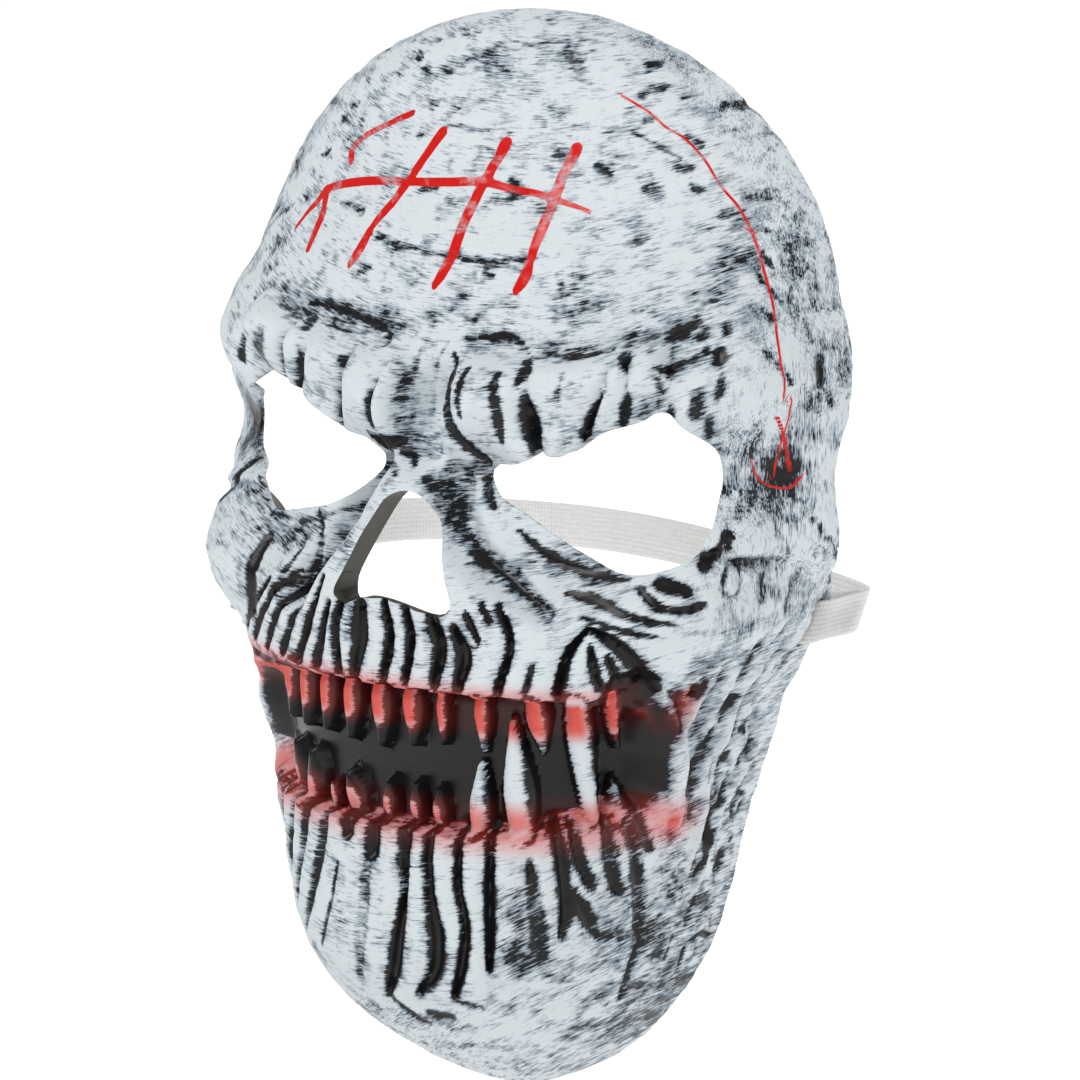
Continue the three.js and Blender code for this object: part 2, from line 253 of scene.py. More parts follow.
@dataclass(frozen=True)
class FaceForm:
    """The plain form under the features, as in the part's source."""

    half_height: float = 136.0
    section_power: float = 2.4
    temple_cut: float = 10.5
    temple_height: float = 29.0
    temple_reach: float = 23.0
    side_from: float = 0.72
    sections: tuple[Section, ...] = (
        Section(34.0, 78.0, 0.45),
        Section(59.7, 87.0, 0.42),
        Section(67.3, 98.0, 0.50),
        Section(66.6, 75.1, 0.38),
        Section(80.2, 69.3, 0.44),
        Section(93.0, 60.4, 0.42),
        Section(108.1, 42.8, 0.72),
        Section(116.0, 42.8, 0.55),
        Section(118.9, 42.8, 0.55),
    )

    def along(self, column: str, z: Array) -> Array:
        """Reads one section column at heights.

        Args:
            column: name of the column.
            z: heights.

        Returns:
            The column's smooth value at each height.
        """
        table = np.array([getattr(row, column) for row in self.sections])
        last = len(table) - 1
        latitude = np.degrees(np.arcsin(np.clip(z / self.half_height, -1.0, 1.0)))
        place = (latitude + 90.0) / 180.0 * last
        row = np.minimum(place.astype(int), last - 1)
        t = place - row
        p0, p1, p2, p3 = (table[np.clip(row + k, 0, last)] for k in (-1, 0, 1, 2))
        bend = (2 * p0 - 5 * p1 + 4 * p2 - p3) * t ** 2 + (3 * p1 - p0 - 3 * p2 + p3) * t ** 3
        return 0.5 * (2 * p1 + (p2 - p0) * t + bend)

    def shrink(self, z: Array) -> Array:
        """Share of the full section left at heights."""
        return np.sqrt(np.maximum(1.0 - (z / self.half_height) ** 2, 0.0))

    def temple_share(self, z: Array) -> Array:
        """Share of the forward cut of the rim at heights."""
        return np.exp(-(((z - self.temple_height) / self.temple_reach) ** 4))

    def side(self, x: Array, z: Array) -> Array:
        """Distance from the middle of the face as a share of the half width."""
        return np.abs(x) / np.maximum(self.along("wide", z) * self.shrink(z), 1e-6)

    def arch(self, x: Array, z: Array) -> Array:
        """Rise of a level section, 0 at the rim and 1 at the middle."""
        return np.maximum(1.0 - self.side(x, z) ** self.section_power, 0.0) ** self.along("round", z)

    def depth(self, x: Array, z: Array) -> Array:
        """Distance of the form in front of the rim plane."""
        rim = self.temple_cut * self.temple_share(z)
        return rim + (self.along("deep", z) * self.shrink(z) - rim) * self.arch(x, z)

    def beside(self, x: Array, z: Array) -> Array:
        """Distance in front of the rim on the two sides of the face, and nowhere on its front."""
        return np.where(self.side(x, z) > self.side_from, self.depth(x, z), NOWHERE)

    def place(self, x: Array, z: Array, rise: Array) -> Array:
        """Points at a height above the form.

        Args:
            x: places across.
            z: heights.
            rise: distance along the form's normal.

        Returns:
            One row of x, y, z for each point.
        """
        step = 0.05
        slope_x = (self.depth(x + step, z) - self.depth(x - step, z)) / (2 * step)
        slope_z = (self.depth(x, z + step) - self.depth(x, z - step)) / (2 * step)
        normal = np.stack([-slope_x, -np.ones_like(x), -slope_z], axis=1)
        normal /= np.linalg.norm(normal, axis=1, keepdims=True)
        return np.stack([x, -self.depth(x, z), z], axis=1) + normal * rise[:, None]


# Features of the face


@dataclass(frozen=True)
class Mass:
    """A large swelling or hollow with a soft border, on both halves of the face or on one.

    `flat` is the share of it that has its full rise, `square` makes its border boxy, and
    `lean` moves its middle sideways with height.
    """

    x: float
    z: float
    wide: float
    tall: float
    flat: float
    square: float
    rise: float
    both: bool = True
    lean: float = 0.0

    def within(self, x: Array, z: Array) -> Array:
        """How far inside the border places lie.

        Args:
            x: places across.
            z: heights.

        Returns:
            1 in the middle, 0 on the border and below 0 outside.
        """
        middle = self.x + self.lean * (z - self.z)
        across = np.abs((np.abs(x) if self.both else x) - middle) / self.wide
        up = np.abs(z - self.z) / self.tall
        return 1.0 - (across ** self.square + up ** self.square) ** (1.0 / self.square)

    def height(self, x: Array, z: Array) -> Array:
        """Rise of the mass at places on the face."""
        return self.rise * smooth(self.within(x, z), 0.0, 1.0 - self.flat)


@dataclass(frozen=True)
class Crease:
    """A groove, ridge or brush mark along a smooth line of (x, z) points.

    `wide` holds half widths spread evenly along the line; a rise of 0 is paint only, and
    `ink` is the share of the dark base that stays uncovered in it.
    """

    line: tuple[Point, ...]
    wide: tuple[float, ...]
    rise: float = 0.0
    ink: float = 1.0

    def drawn(self) -> Array:
        """The smooth line with its half widths.

        Returns:
            Rows of x, z and half width.
        """
        spread = np.linspace(0.0, 1.0, len(self.line))
        wide = np.interp(spread, np.linspace(0.0, 1.0, len(self.wide)), self.wide)
        return smooth_line(np.column_stack([np.array(self.line), wide]), 5)

    def cover(self, x: Array, z: Array, signed: bool = False) -> tuple[Array, Array]:
        """Reads how well the line covers places on the face.

        Args:
            x: places across.
            z: heights.
            signed: whether to work out the side of the line as well.

        Returns:
            Cover, 1 on the line, 0 at its edge and below 0 outside; and the signed
            distance from the line in millimetres, or an empty array.
        """
        rows = self.drawn()
        margin = 3.0 * rows[:, 2].max() + 2.0
        low = rows[:, :2].min(axis=0) - margin
        high = rows[:, :2].max(axis=0) + margin
        near = np.flatnonzero((x > low[0]) & (x < high[0]) & (z > low[1]) & (z < high[1]))
        best = np.full(len(x), UNCOVERED)
        offset = np.full(len(x) if signed else 0, AWAY)
        px, pz = x[near], z[near]
        top, off = best[near], np.full(len(near), AWAY)
        for (ax, az, aw), (bx, bz, bw) in zip(rows, rows[1:]):
            run = max((bx - ax) ** 2 + (bz - az) ** 2, 1e-9)
            t = np.clip(((px - ax) * (bx - ax) + (pz - az) * (bz - az)) / run, 0.0, 1.0)
            dx, dz = px - ax - t * (bx - ax), pz - az - t * (bz - az)
            away = np.hypot(dx, dz)
            here = 1.0 - away / (aw + t * (bw - aw))
            closer = here > top
            hand = np.sign((bx - ax) * dz - (bz - az) * dx)
            off = np.where(closer, hand * away, off)
            top = np.where(closer, here, top)
        best[near] = top
        if signed:
            offset[near] = off
        return best, offset


@dataclass(frozen=True)
class Tooth:
    """A tooth from its gum to its tip, with its half widths and the pale paint it took."""

    x: float
    gum: float
    tip: float
    wide: float
    point: float
    lean: float = 0.0
    pale: float = 0.0

    def crease(self, rise: float) -> Crease:
        """The tooth as a raised stroke.

        Args:
            rise: height of the tooth.

        Returns:
            The stroke.
        """
        belly = (self.x + 0.4 * self.lean, self.gum + 0.35 * (self.tip - self.gum))
        line = ((self.x, self.gum), belly, (self.x + self.lean, self.tip))
        return Crease(line, (0.8 * self.wide, self.wide, self.point), rise)


@dataclass(frozen=True)
class Patch:
    """A soft-edged area of the face that took more or less pale paint."""

    x: float
    z: float
    wide: float
    tall: float
    amount: float

    def value(self, x: Array, z: Array) -> Array:
        """Amount of the patch at places on the face."""
        return self.amount * np.exp(-(((x - self.x) / self.wide) ** 2) - ((z - self.z) / self.tall) ** 2)


@dataclass(frozen=True)
class Band:
    """A level band of spray: the heights between which it comes in and goes out."""

    rises: Point
    falls: Point

    def share(self, z: Array) -> Array:
        """Strength of the band at heights."""
        return smooth(z, *self.rises) * (1.0 - smooth(z, *self.falls))


MASSES = (
    Mass(44, 29, 41, 30, 0.55, 2, -11),
    Mass(14, 35, 15, 13, 0.2, 2, -5),
    Mass(0, 44, 12, 18, 0.2, 2, -9, False),
    Mass(0, 57, 68, 28, 0.25, 2.5, -5, False),
    Mass(77, 35, 14, 20, 0.2, 2, -8),
    Mass(68, -1, 21, 17, 0.1, 2, 5.5),
    Mass(62, -25, 14, 14, 0.1, 2, -4),
    Mass(78, 58, 22, 16, 0.1, 2, 2.5),
    Mass(-76, 28.5, 13, 18, 0.1, 2, -12.5, False),
)
MOUTH = Mass(3, -37.4, 59.5, 18.1, 0.89, 4.5, -8, False, 0.13)
MOUTH_CORNER = Mass(58, -19, 6, 8, 0.4, 2.5, -3.4, False, 0.3)

# The brow roll of the right half, repeated on the left, and the folds between its lobes from left to right
BROW_ROLL = Crease(((13, 46), (26, 45.5), (38, 46.2), (46, 50.4), (57, 56.4)), (10.5, 10.5, 10, 8, 6), 7.5)
BROW_FOLDS: tuple[tuple[Point, ...], ...] = (
    ((-60, 48), (-57, 60)),
    ((-46.5, 49), (-42.5, 57)),
    ((-43, 46), (-37.5, 53), (-36.5, 60)),
    ((-27.5, 42), (-24, 50), (-23, 56)),
    ((-12.4, 39), (-11.5, 47.5), (-11, 55)),
    ((-5.5, 40), (-4.5, 48.5), (-1, 58)),
    ((18.5, 37), (13.5, 40), (11.5, 44.5), (9.5, 53), (8.5, 58.5)),
    ((34, 40), (31, 46), (29.5, 52), (29, 58)),
    ((45, 45), (46.5, 48.5), (49, 53), (50.5, 58)),
    ((54, 48), (55, 51.5), (54.5, 56), (53, 60)),
    ((64, 51), (64, 60)),
)

# Broad furrows: nose walls, the fold over the brow and the fold below the temple
BROAD_FURROWS = (
    Crease(((10, 32), (15, 21), (21, 13.5), (30, 8), (42, 1)), (5.0, 5.6, 5.6, 5.2, 4.0), -5.0),
    Crease(((-13, 31), (-21, 16), (-31, -1)), (8.0, 7.6, 7.0), -8.0),
    Crease(((9, 63.5), (32, 63), (55, 64)), (3.5, 3.5, 3.5), -1.0),
    Crease(((-9, 64.5), (-32, 66), (-55, 64)), (3.5, 3.5, 3.5), -1.0),
    Crease(((58, 14), (69, 16), (80, 12)), (3.5, 3.5, 3.0), -2.0),
    Crease(((-58, 14), (-69, 16), (-80, 12)), (3.5, 3.5, 3.0), -2.0),
)

BROW_GROOVES = (
    Crease(((5, 60.5), (7.4, 57), (8.6, 51), (11, 44.5), (13, 40.4), (17.5, 37.2)),
           (0.4, 0.8, 1.0, 1.1, 1.1, 0.6), -1.2),
    Crease(((13.4, 56.6), (13.8, 50.5), (14.8, 45.4)), (0.5, 1.0, 0.6), -0.5, 0.75),
    Crease(((22.2, 55.5), (23.4, 49), (24, 41.5)), (0.7, 1.1, 0.8), -0.8, 0.85),
    Crease(((27.2, 60.2), (28.2, 57), (27.4, 53.6)), (0.8, 1.2, 0.6), -0.8, 0.8),
    Crease(((29.4, 52), (30.6, 47), (33, 40.6)), (1.0, 2.4, 1.5), -1.2),
    Crease(((49.4, 52.8), (46.4, 48.6), (44.8, 45)), (0.7, 1.3, 1.1), -0.8, 0.95),
    Crease(((55.2, 52.6), (54.8, 50.4), (54, 48.4)), (0.6, 1.2, 1.0), -0.8),
    Crease(((52.6, 61.4), (53.8, 58)), (0.9, 1.1), -0.8, 0.85),
    Crease(((39, 56), (38.4, 52)), (0.6, 0.7), -0.3, 0.4),
    Crease(((7, 64), (14, 65.2), (22, 65), (26, 62)), (0.3, 0.5, 0.7, 0.4), -0.6, 0.8),
    Crease(((30.5, 62.6), (40, 61.6), (48, 63.2)), (0.7, 0.9, 0.5), -0.7, 0.7),
    Crease(((-44, 66.5), (-34, 67), (-24, 65.6), (-16, 63), (-14.4, 60)),
           (0.5, 0.8, 0.9, 0.7, 0.4), -0.9, 0.9),
    Crease(((-49, 56.4), (-51.6, 53.4), (-53, 51)), (0.9, 1.3, 0.9), -0.8, 0.75),
    Crease(((-38.4, 55), (-39.4, 52), (-43, 47.6)), (0.5, 1.0, 0.8), -0.8, 0.85),
    Crease(((-39.6, 62.8), (-38.6, 60)), (1.3, 0.9), -0.8, 0.8),
    Crease(((-23.6, 51.6), (-24.6, 47.6), (-27.6, 43)), (0.6, 1.0, 0.8), -0.8, 0.85),
    Crease(((-24, 54.8), (-23, 54)), (1.0, 1.0), -0.6, 0.85),
    Crease(((-11.8, 48.4), (-12.2, 45), (-13.2, 41)), (0.6, 0.9, 0.6), -0.8, 0.8),
    Crease(((-43, 57), (-45.6, 51.6)), (0.6, 0.8), -0.8, 0.75),
    Crease(((-62, 58), (-65, 50)), (1.2, 0.9), -1.2, 0.8),
    Crease(((-4.6, 60), (-6.4, 50), (-6.8, 42)), (0.5, 0.7, 0.6), -0.3, 0.4),
    Crease(((2.4, 62), (-1.6, 54), (-3, 46)), (0.4, 0.6, 0.5), -0.3, 0.4),
    # Painted shade: a dark crescent under the left brow, above the inner corner of the eye, over a shallow
    # real groove
    Crease(((-17, 39.4), (-11.5, 37.4), (-6.5, 39)), (0.6, 1.6, 0.9), -1.0),
)

TEMPLE_PITS = (
    Crease(((60.5, 66), (63, 67.4), (64.6, 69.6)), (1.2, 1.5, 1.3), -1.4),
    Crease(((66, 65.5), (67, 66.3)), (0.9, 0.9), -1.0),
    Crease(((70, 68.5), (71, 66)), (0.7, 0.8), -0.9, 0.9),
    Crease(((70.4, 62.4), (71.2, 60)), (1.1, 1.1), -1.3),
    Crease(((60.5, 57.4), (63.5, 59), (67, 61)), (0.8, 1.2, 0.9), -1.2, 0.9),
    Crease(((60.6, 55.6), (62, 54)), (0.9, 0.7), -0.8, 0.8),
    Crease(((69, 53), (70, 49.4)), (1.1, 1.3), -1.5),
    Crease(((64.6, 50.2), (65.4, 49)), (0.9, 0.7), -0.9),
    Crease(((72.4, 57), (73.2, 52.6)), (0.6, 0.8), -0.9, 0.85),
    Crease(((72.6, 48.4), (74.2, 45)), (0.8, 0.6), -0.7, 0.6),
    Crease(((68, 63.2), (68.6, 62)), (0.7, 0.7), -0.8, 0.8),
    Crease(((56.8, 64), (58, 61.4)), (0.7, 0.8), -0.8, 0.7),
)

# Dark steep wall of the nose, lower lids and cheeks; on the right nose wall and the left cheekbone the dark
# is painted shade
CHEEK_MARKS = (
    # Painted shade: the right nose wall, steep and turned from the light, is darkened along its length
    Crease(((6, 31.5), (10, 28), (13.6, 21.5), (18, 15.5), (25, 10)),
           (0.8, 2.2, 1.6, 1.2, 0.8), -0.3, 0.62),
    Crease(((16.5, 18), (22, 12.6), (27.5, 9), (33, 6), (40, 2.6)),
           (0.5, 0.9, 1.1, 1.0, 0.6), -0.8, 0.85),
    Crease(((16.6, 33), (18.4, 29), (22, 25.6)), (0.8, 1.4, 0.8), -0.6, 0.85),
    Crease(((30, 20.6), (38, 15.2), (45, 11.8), (52, 9.2), (60, 9)),
           (0.5, 1.2, 1.1, 0.9, 0.5), -0.6, 0.85),
    Crease(((66, 8.9), (69, 8.2)), (1.2, 1.1), -1.6),
    Crease(((62, 7.4), (64, 5.2), (67.5, 4.2), (71, 5.4)), (0.7, 0.9, 0.9, 0.6), -1.3),
    Crease(((46, 5.4), (53, 4.6), (60, 2.2), (66, 1)), (0.5, 0.9, 1.0, 0.6), -1.0, 0.9),
    Crease(((50, 1), (57, -1), (64, -2.4)), (0.5, 0.8, 0.6), -0.8, 0.8),
    Crease(((-72, 26), (-66, 19), (-60, 15)), (1.2, 1.6, 0.9), -0.8, 0.8),
    Crease(((-55, 12), (-42, 13.4), (-28, 18.4), (-15, 25)), (0.7, 0.7, 0.6, 0.5), -0.5, 0.7),
    Crease(((-33.6, 18), (-31, 11), (-30.4, 5), (-34.6, -1)), (0.4, 0.7, 0.8, 0.6), -0.8, 0.75),
    Crease(((-38, 11), (-35, 7), (-36, 0)), (0.5, 0.7, 0.5), -0.6, 0.65),
    Crease(((-27, 14), (-25, 8), (-27, 2)), (0.4, 0.6, 0.5), -0.6, 0.6),
    # Painted shadow: a dark band down the edge of the left cheekbone, over a real groove
    Crease(((-51, 7), (-48, 0), (-48, -9)), (0.9, 2.0, 2.2), -1.6),
    Crease(((-6, 36.6), (-1, 35), (1.4, 32.6)), (0.6, 0.7, 0.5), -0.6, 0.8),
    Crease(((-8, 33.4), (-4, 32), (-2, 30)), (0.4, 0.6, 0.4), -0.4, 0.6),
)

LIP_GROOVES = (
    Crease(((-7.4, -1), (-6.8, -8), (-8.8, -18)), (1.3, 2.2, 1.4), -3.2),
    Crease(((-0.2, 0.5), (1.8, -8), (-0.2, -18)), (1.0, 1.4, 1.3), -3.2),
    Crease(((5.9, 0), (8.1, -8), (6.3, -18)), (1.0, 1.3, 1.1), -3.2),
    Crease(((13, -1), (16.3, -8), (14.7, -18)), (1.1, 1.6, 1.3), -3.2),
    Crease(((20, -4), (22.9, -10), (21.2, -18)), (1.0, 1.8, 1.4), -3.0),
    Crease(((30.4, 3), (34, -3), (34.2, -8), (31.2, -18)), (0.5, 0.8, 0.9, 1.1), -2.4),
    Crease(((23, 0.4), (25, -3), (27, -6.4)), (0.6, 0.7, 0.4), -1.4),
    Crease(((27, 2.6), (29.4, -1)), (0.6, 0.5), -1.0),
    Crease(((51.4, -1.8), (47.8, -7), (45.8, -13), (44.6, -18)), (0.6, 1.0, 1.1, 1.1), -2.6),
    Crease(((51.6, -1.6), (56, -4.4), (59.6, -10), (61, -17)), (0.7, 1.4, 1.3, 1.0), -2.6),
    Crease(((51.8, -6), (52.2, -11), (53.2, -17)), (0.6, 0.9, 0.9), -1.8),
    Crease(((55, -8), (56.6, -16)), (0.5, 0.8), -1.5),
    Crease(((39.6, -11), (37.6, -18)), (0.4, 0.8), -1.0, 0.8),
    Crease(((-13.4, -1), (-15.2, -8), (-14, -18)), (1.0, 1.5, 1.3), -3.0),
    Crease(((-17.4, -2), (-21, -17.5)), (0.8, 1.4), -2.8),
    Crease(((-19.5, 4), (-23.5, -7), (-27.6, -17.5)), (0.5, 1.0, 1.3), -2.6),
    Crease(((-23.5, 5), (-29, -6), (-34, -17)), (0.5, 1.0, 1.2), -2.4),
    Crease(((-27.5, 6), (-35, -6), (-41, -17)), (0.4, 0.9, 1.2), -2.2),
    Crease(((-33, 3), (-41, -7), (-47.4, -16)), (0.4, 0.9, 1.1), -2.0),
    Crease(((-39, 0), (-47, -8), (-53, -15)), (0.4, 0.9, 1.0), -2.0),
)

JAW_GROOVES = (
    Crease(((5.5, -54), (6, -61), (7, -68), (6.2, -80), (4.2, -90), (-0.5, -98)),
           (2.2, 1.9, 1.1, 1.7, 1.9, 1.0), -3.0),
    Crease(((12.8, -54), (12.6, -62), (14.2, -70), (16.6, -80), (14.8, -90), (8.5, -97)),
           (1.4, 1.6, 1.6, 2.1, 1.9, 0.9), -3.0),
    Crease(((20.4, -54), (21, -66), (23.4, -78), (21.4, -89), (18.2, -96)),
           (1.2, 1.2, 1.3, 1.2, 0.7), -2.4),
    Crease(((28, -53), (28.4, -66), (28.6, -80), (27.5, -88)), (1.2, 1.2, 1.1, 0.6), -2.6),
    Crease(((36.5, -60), (37.5, -71), (37.2, -84)), (0.7, 1.5, 1.3), -1.6, 0.75),
    Crease(((42, -53), (42.5, -60), (42.6, -72), (41, -80)), (1.2, 1.3, 1.2, 0.6), -2.3),
    Crease(((44, -68), (45, -74.5), (45.2, -81)), (0.7, 1.1, 0.6), -1.4, 0.9),
    Crease(((45, -53), (45.4, -60), (46.6, -68)), (1.0, 1.1, 0.7), -2.0),
    Crease(((50.5, -52), (50, -60), (49.6, -70)), (0.9, 1.1, 0.7), -1.9, 0.85),
    Crease(((53.5, -51), (53, -60), (51.6, -72), (49.2, -83)), (0.7, 0.8, 0.7, 0.5), -1.5, 0.85),
    Crease(((55, -49), (54.6, -60)), (0.8, 0.5), -1.2, 0.9),
    Crease(((-3.8, -54), (-3.4, -61.5)), (2.4, 2.2), -2.8),
    Crease(((-11.8, -54), (-11.6, -58.5)), (2.6, 1.6), -2.4),
    Crease(((-19.8, -54), (-20.6, -64), (-24, -77), (-30, -88)), (1.4, 1.6, 1.4, 0.8), -2.4, 0.8),
    Crease(((-13.5, -66), (-15.4, -78), (-19.6, -88)), (0.4, 0.6, 0.4), -0.6, 0.7),
    Crease(((-4.4, -64), (-4.4, -80), (-7, -94)), (1.2, 2.0, 1.0), -1.2, 0.42),
    Crease(((-27, -54), (-29, -66), (-33, -80)), (1.4, 1.5, 0.9), -2.4, 0.7),
    Crease(((-34, -54), (-36, -68), (-39, -84)), (1.3, 1.4, 0.8), -2.4, 0.7),
    Crease(((-41, -53), (-42.5, -66), (-44, -80)), (1.2, 1.3, 0.8), -2.2, 0.7),
    Crease(((-47.5, -53), (-48, -64), (-49, -74)), (1.0, 1.0, 0.6), -1.8, 0.7),
    Crease(((1, -99), (4, -102.6), (7, -105.4)), (0.9, 1.2, 0.7), -0.7, 0.75),
    Crease(((10, -101.4), (15, -102)), (1.3, 1.1), -0.6, 0.7),
    Crease(((20, -97.6), (22.6, -98.6)), (0.8, 0.8), -0.5, 0.65),
)

# Wrinkles of the jaw side and the temple, as (distance in front of the rim, z)
SIDE_WRINKLES = (
    Crease(((33.6, -18.6), (33.8, -21.4)), (1.7, 1.4), -2.8),
    Crease(((38.6, -20), (36.4, -26), (35.6, -30)), (0.6, 0.9, 0.5), -1.0, 0.8),
    Crease(((31, -12), (29.4, -19), (30, -27), (31, -31)), (0.4, 0.7, 0.7, 0.4), -0.9, 0.6),
    Crease(((23.4, -30), (28.6, -36), (30, -40), (27, -47), (25, -54)),
           (0.5, 0.9, 1.0, 0.8, 0.5), -1.2, 0.7),
    Crease(((17, -4), (19, -10), (16, -16)), (0.6, 0.9, 0.5), -0.8, 0.5),
    Crease(((8, -14), (12, -24), (11, -34), (8, -44)), (0.4, 0.7, 0.7, 0.4), -1.0, 0.55),
    Crease(((25, -6), (23.4, -14), (23.6, -22), (23.4, -29)), (0.3, 0.7, 0.8, 0.5), -1.1, 0.6),
    Crease(((14, -10), (18, -20), (18, -31), (20.6, -40), (18, -48)),
           (0.3, 0.7, 0.8, 0.8, 0.5), -1.1, 0.6),
    Crease(((22.4, -23.4), (22.8, -26)), (1.2, 1.1), -1.2, 0.9),
    Crease(((15, -23), (15, -24)), (0.8, 0.8), -0.8, 0.8),
    Crease(((14.4, -30.6), (14.8, -33)), (1.1, 1.0), -1.2, 0.8),
    Crease(((18.6, -38), (18.6, -39)), (0.9, 0.9), -1.0, 0.85),
    Crease(((10, -36.6), (12.4, -42)), (0.9, 1.0), -1.0, 0.7),
    Crease(((16.2, -46), (15.4, -51), (18, -54.6), (16.4, -60), (15, -65), (17.4, -69.4)),
           (0.6, 0.9, 0.8, 1.1, 1.0, 0.7), -1.5, 0.9),
    Crease(((18.6, -55), (19.6, -58), (17.2, -60)), (0.5, 0.6, 0.5), -1.0, 0.8),
    Crease(((7.4, -47), (8.4, -53), (6, -58), (4, -54)), (0.7, 0.9, 0.9, 0.7), -1.3, 0.8),
    Crease(((7.6, -67.4), (8, -71)), (2.0, 2.2), -1.6, 0.85),
    Crease(((16.4, -76), (15.2, -84)), (1.8, 1.4), -1.0, 0.75),
    Crease(((31.4, -80), (31, -92), (28, -101.6)), (0.6, 0.8, 0.5), -1.0, 0.8),
    Crease(((3, -90), (7, -88.6), (12, -91), (11, -96)), (0.8, 1.0, 1.1, 0.8), -1.0, 0.8),
    Crease(((4, 16), (10.6, 17.2), (13.6, 18.4), (15, 14), (15.6, 8), (18.4, 1.6)),
           (0.3, 0.4, 0.4, 0.4, 0.3, 0.3), -0.7, 0.4),
    Crease(((36, 19), (38, 15), (41, 12.4)), (1.2, 1.4, 0.9), -1.6),
    Crease(((33.4, 12.6), (32.2, 9.4), (33.4, 6.2), (36, 6.8), (36.8, 9.8), (35, 12.8)),
           (0.4, 0.5, 0.5, 0.5, 0.4), -0.9, 0.55),
    Crease(((26.4, 9), (26, 4)), (0.8, 0.8), -0.6, 0.65),
    Crease(((12, 59), (12, 55)), (1.7, 1.6), -0.8, 0.8),
)

# Raised cords of the jaw side, as (distance in front of the rim, z)
SIDE_RIDGES = (
    Crease(((44.3, -17.5), (39.5, -24.5), (35.5, -30.5), (34.2, -36), (33, -42), (31.6, -48), (30, -55)),
           (0.8, 1.5, 1.8, 1.9, 1.9, 1.6, 0.9), 2.2),
    Crease(((46, -13), (40.6, -15.2), (36.7, -16)), (0.7, 1.2, 0.9), 1.2),
    Crease(((35, -17), (32.6, -19.6), (33, -27.5), (34.4, -31.5), (33.2, -36.4), (32.4, -42), (30, -50),
            (29, -58)),
           (0.8, 1.3, 1.2, 1.3, 1.3, 1.3, 1.2, 0.7), 1.3),
    Crease(((19, -16), (20.4, -22), (20.4, -32.5), (25.4, -39), (23.4, -46), (20.6, -55), (22, -66),
            (24, -76)),
           (0.7, 1.2, 1.4, 1.6, 1.5, 1.3, 1.1, 0.7), 1.3),
    Crease(((7, -37), (9.6, -44.5), (13.9, -49.5), (14.6, -59), (15.6, -68.5), (19, -80)),
           (0.8, 1.3, 1.5, 1.5, 1.3, 0.7), 1.3),
    Crease(((8.9, -8.5), (14, -13.6), (17, -16.4), (21.1, -18.5)), (0.8, 1.2, 1.2, 0.7), 1.0),
    Crease(((13.6, -14), (15, -20), (15.8, -26), (14, -34)), (0.6, 1.1, 1.1, 0.6), 1.0),
    Crease(((27, -14), (26, -22), (27, -30)), (0.8, 1.3, 0.8), 1.1),
)

MOUTH_EDGES = (
    Crease(((-50, -20.4), (-20, -21), (10, -21.2), (40, -20.8), (58, -20)),
           (0.9, 1.0, 1.0, 1.0, 0.8), -1.2),
    Crease(((-48, -53.6), (-20, -53.6), (10, -54), (40, -53.6), (54, -52.6)),
           (0.35, 0.4, 0.4, 0.4, 0.35), -0.8, 0.6),
)

FOREHEAD_WRINKLES = (
    Crease(((-29, 82.6), (-18, 81.2), (0, 80.4), (15, 80.6), (28, 82.6)),
           (0.3, 0.6, 0.5, 0.6, 0.3), -0.6, 0.75),
    Crease(((2, 79.6), (14, 79.4), (23, 77.6)), (0.4, 0.6, 0.3), -0.3, 0.6),
    Crease(((-36, 110), (-22, 120), (-6, 127.6), (12, 131)), (1.0, 1.6, 1.6, 1.0), -0.7, 0.3),
    Crease(((-16, 109.6), (-8, 109), (0, 108.6)), (0.3, 0.5, 0.3), -0.4, 0.6),
    Crease(((38, 110.6), (44, 108), (50, 105)), (0.3, 0.6, 0.4), -0.4, 0.6),
)

UPPER_TEETH = (
    Tooth(-45.4, -20, -37, 3.2, 1.3, -1),
    Tooth(-38, -20, -35.4, 3.5, 1.3, -1),
    Tooth(-30, -20, -35.4, 3.7, 1.4, -1),
    Tooth(-22, -21, -35, 3.6, 1.4, -0.5),
    Tooth(-13.4, -21, -35.6, 3.6, 1.4, -0.5),
    Tooth(-4.2, -21, -36, 3.9, 1.4, 0.5),
    Tooth(5.4, -21, -34.6, 3.9, 1.3, 0.6, 0.1),
    Tooth(14.4, -21, -33.4, 2.2, 0.9, 0.5),
    Tooth(25.4, -21, -34.4, 2.9, 0.9, 0.6, 0.35),
    Tooth(39, -21, -34.6, 3.6, 0.9, 1.6, 0.4),
    Tooth(48.4, -20, -50.6, 3.5, 1.6, 0.8, 1.0),
    Tooth(56, -20, -34, 1.9, 0.9, -0.6),
)
LOWER_TEETH = (
    Tooth(-47, -53, -43.6, 3.0, 1.3),
    Tooth(-39, -53, -42.6, 3.6, 1.5),
    Tooth(-30, -53, -42.8, 4.2, 1.8, 1, 0.1),
    Tooth(-20.4, -53, -48.2, 1.8, 0.9),
    Tooth(-12.6, -53, -45.4, 4.0, 1.8, -2),
    Tooth(-2.6, -53, -45.2, 2.8, 1.2, 1),
    Tooth(5.9, -53, -44.2, 2.6, 1.0, 0.6),
    Tooth(13.4, -53, -44.8, 2.8, 1.0, -0.2, 0.1),
    Tooth(24.2, -53, -38.4, 3.7, 1.1, 0.7, 0.8),
    Tooth(35, -53, -26.4, 4.8, 0.8, -1.6, 1.0),
    Tooth(53.4, -53, -43, 1.9, 0.7, 0.2, 0.5),
)

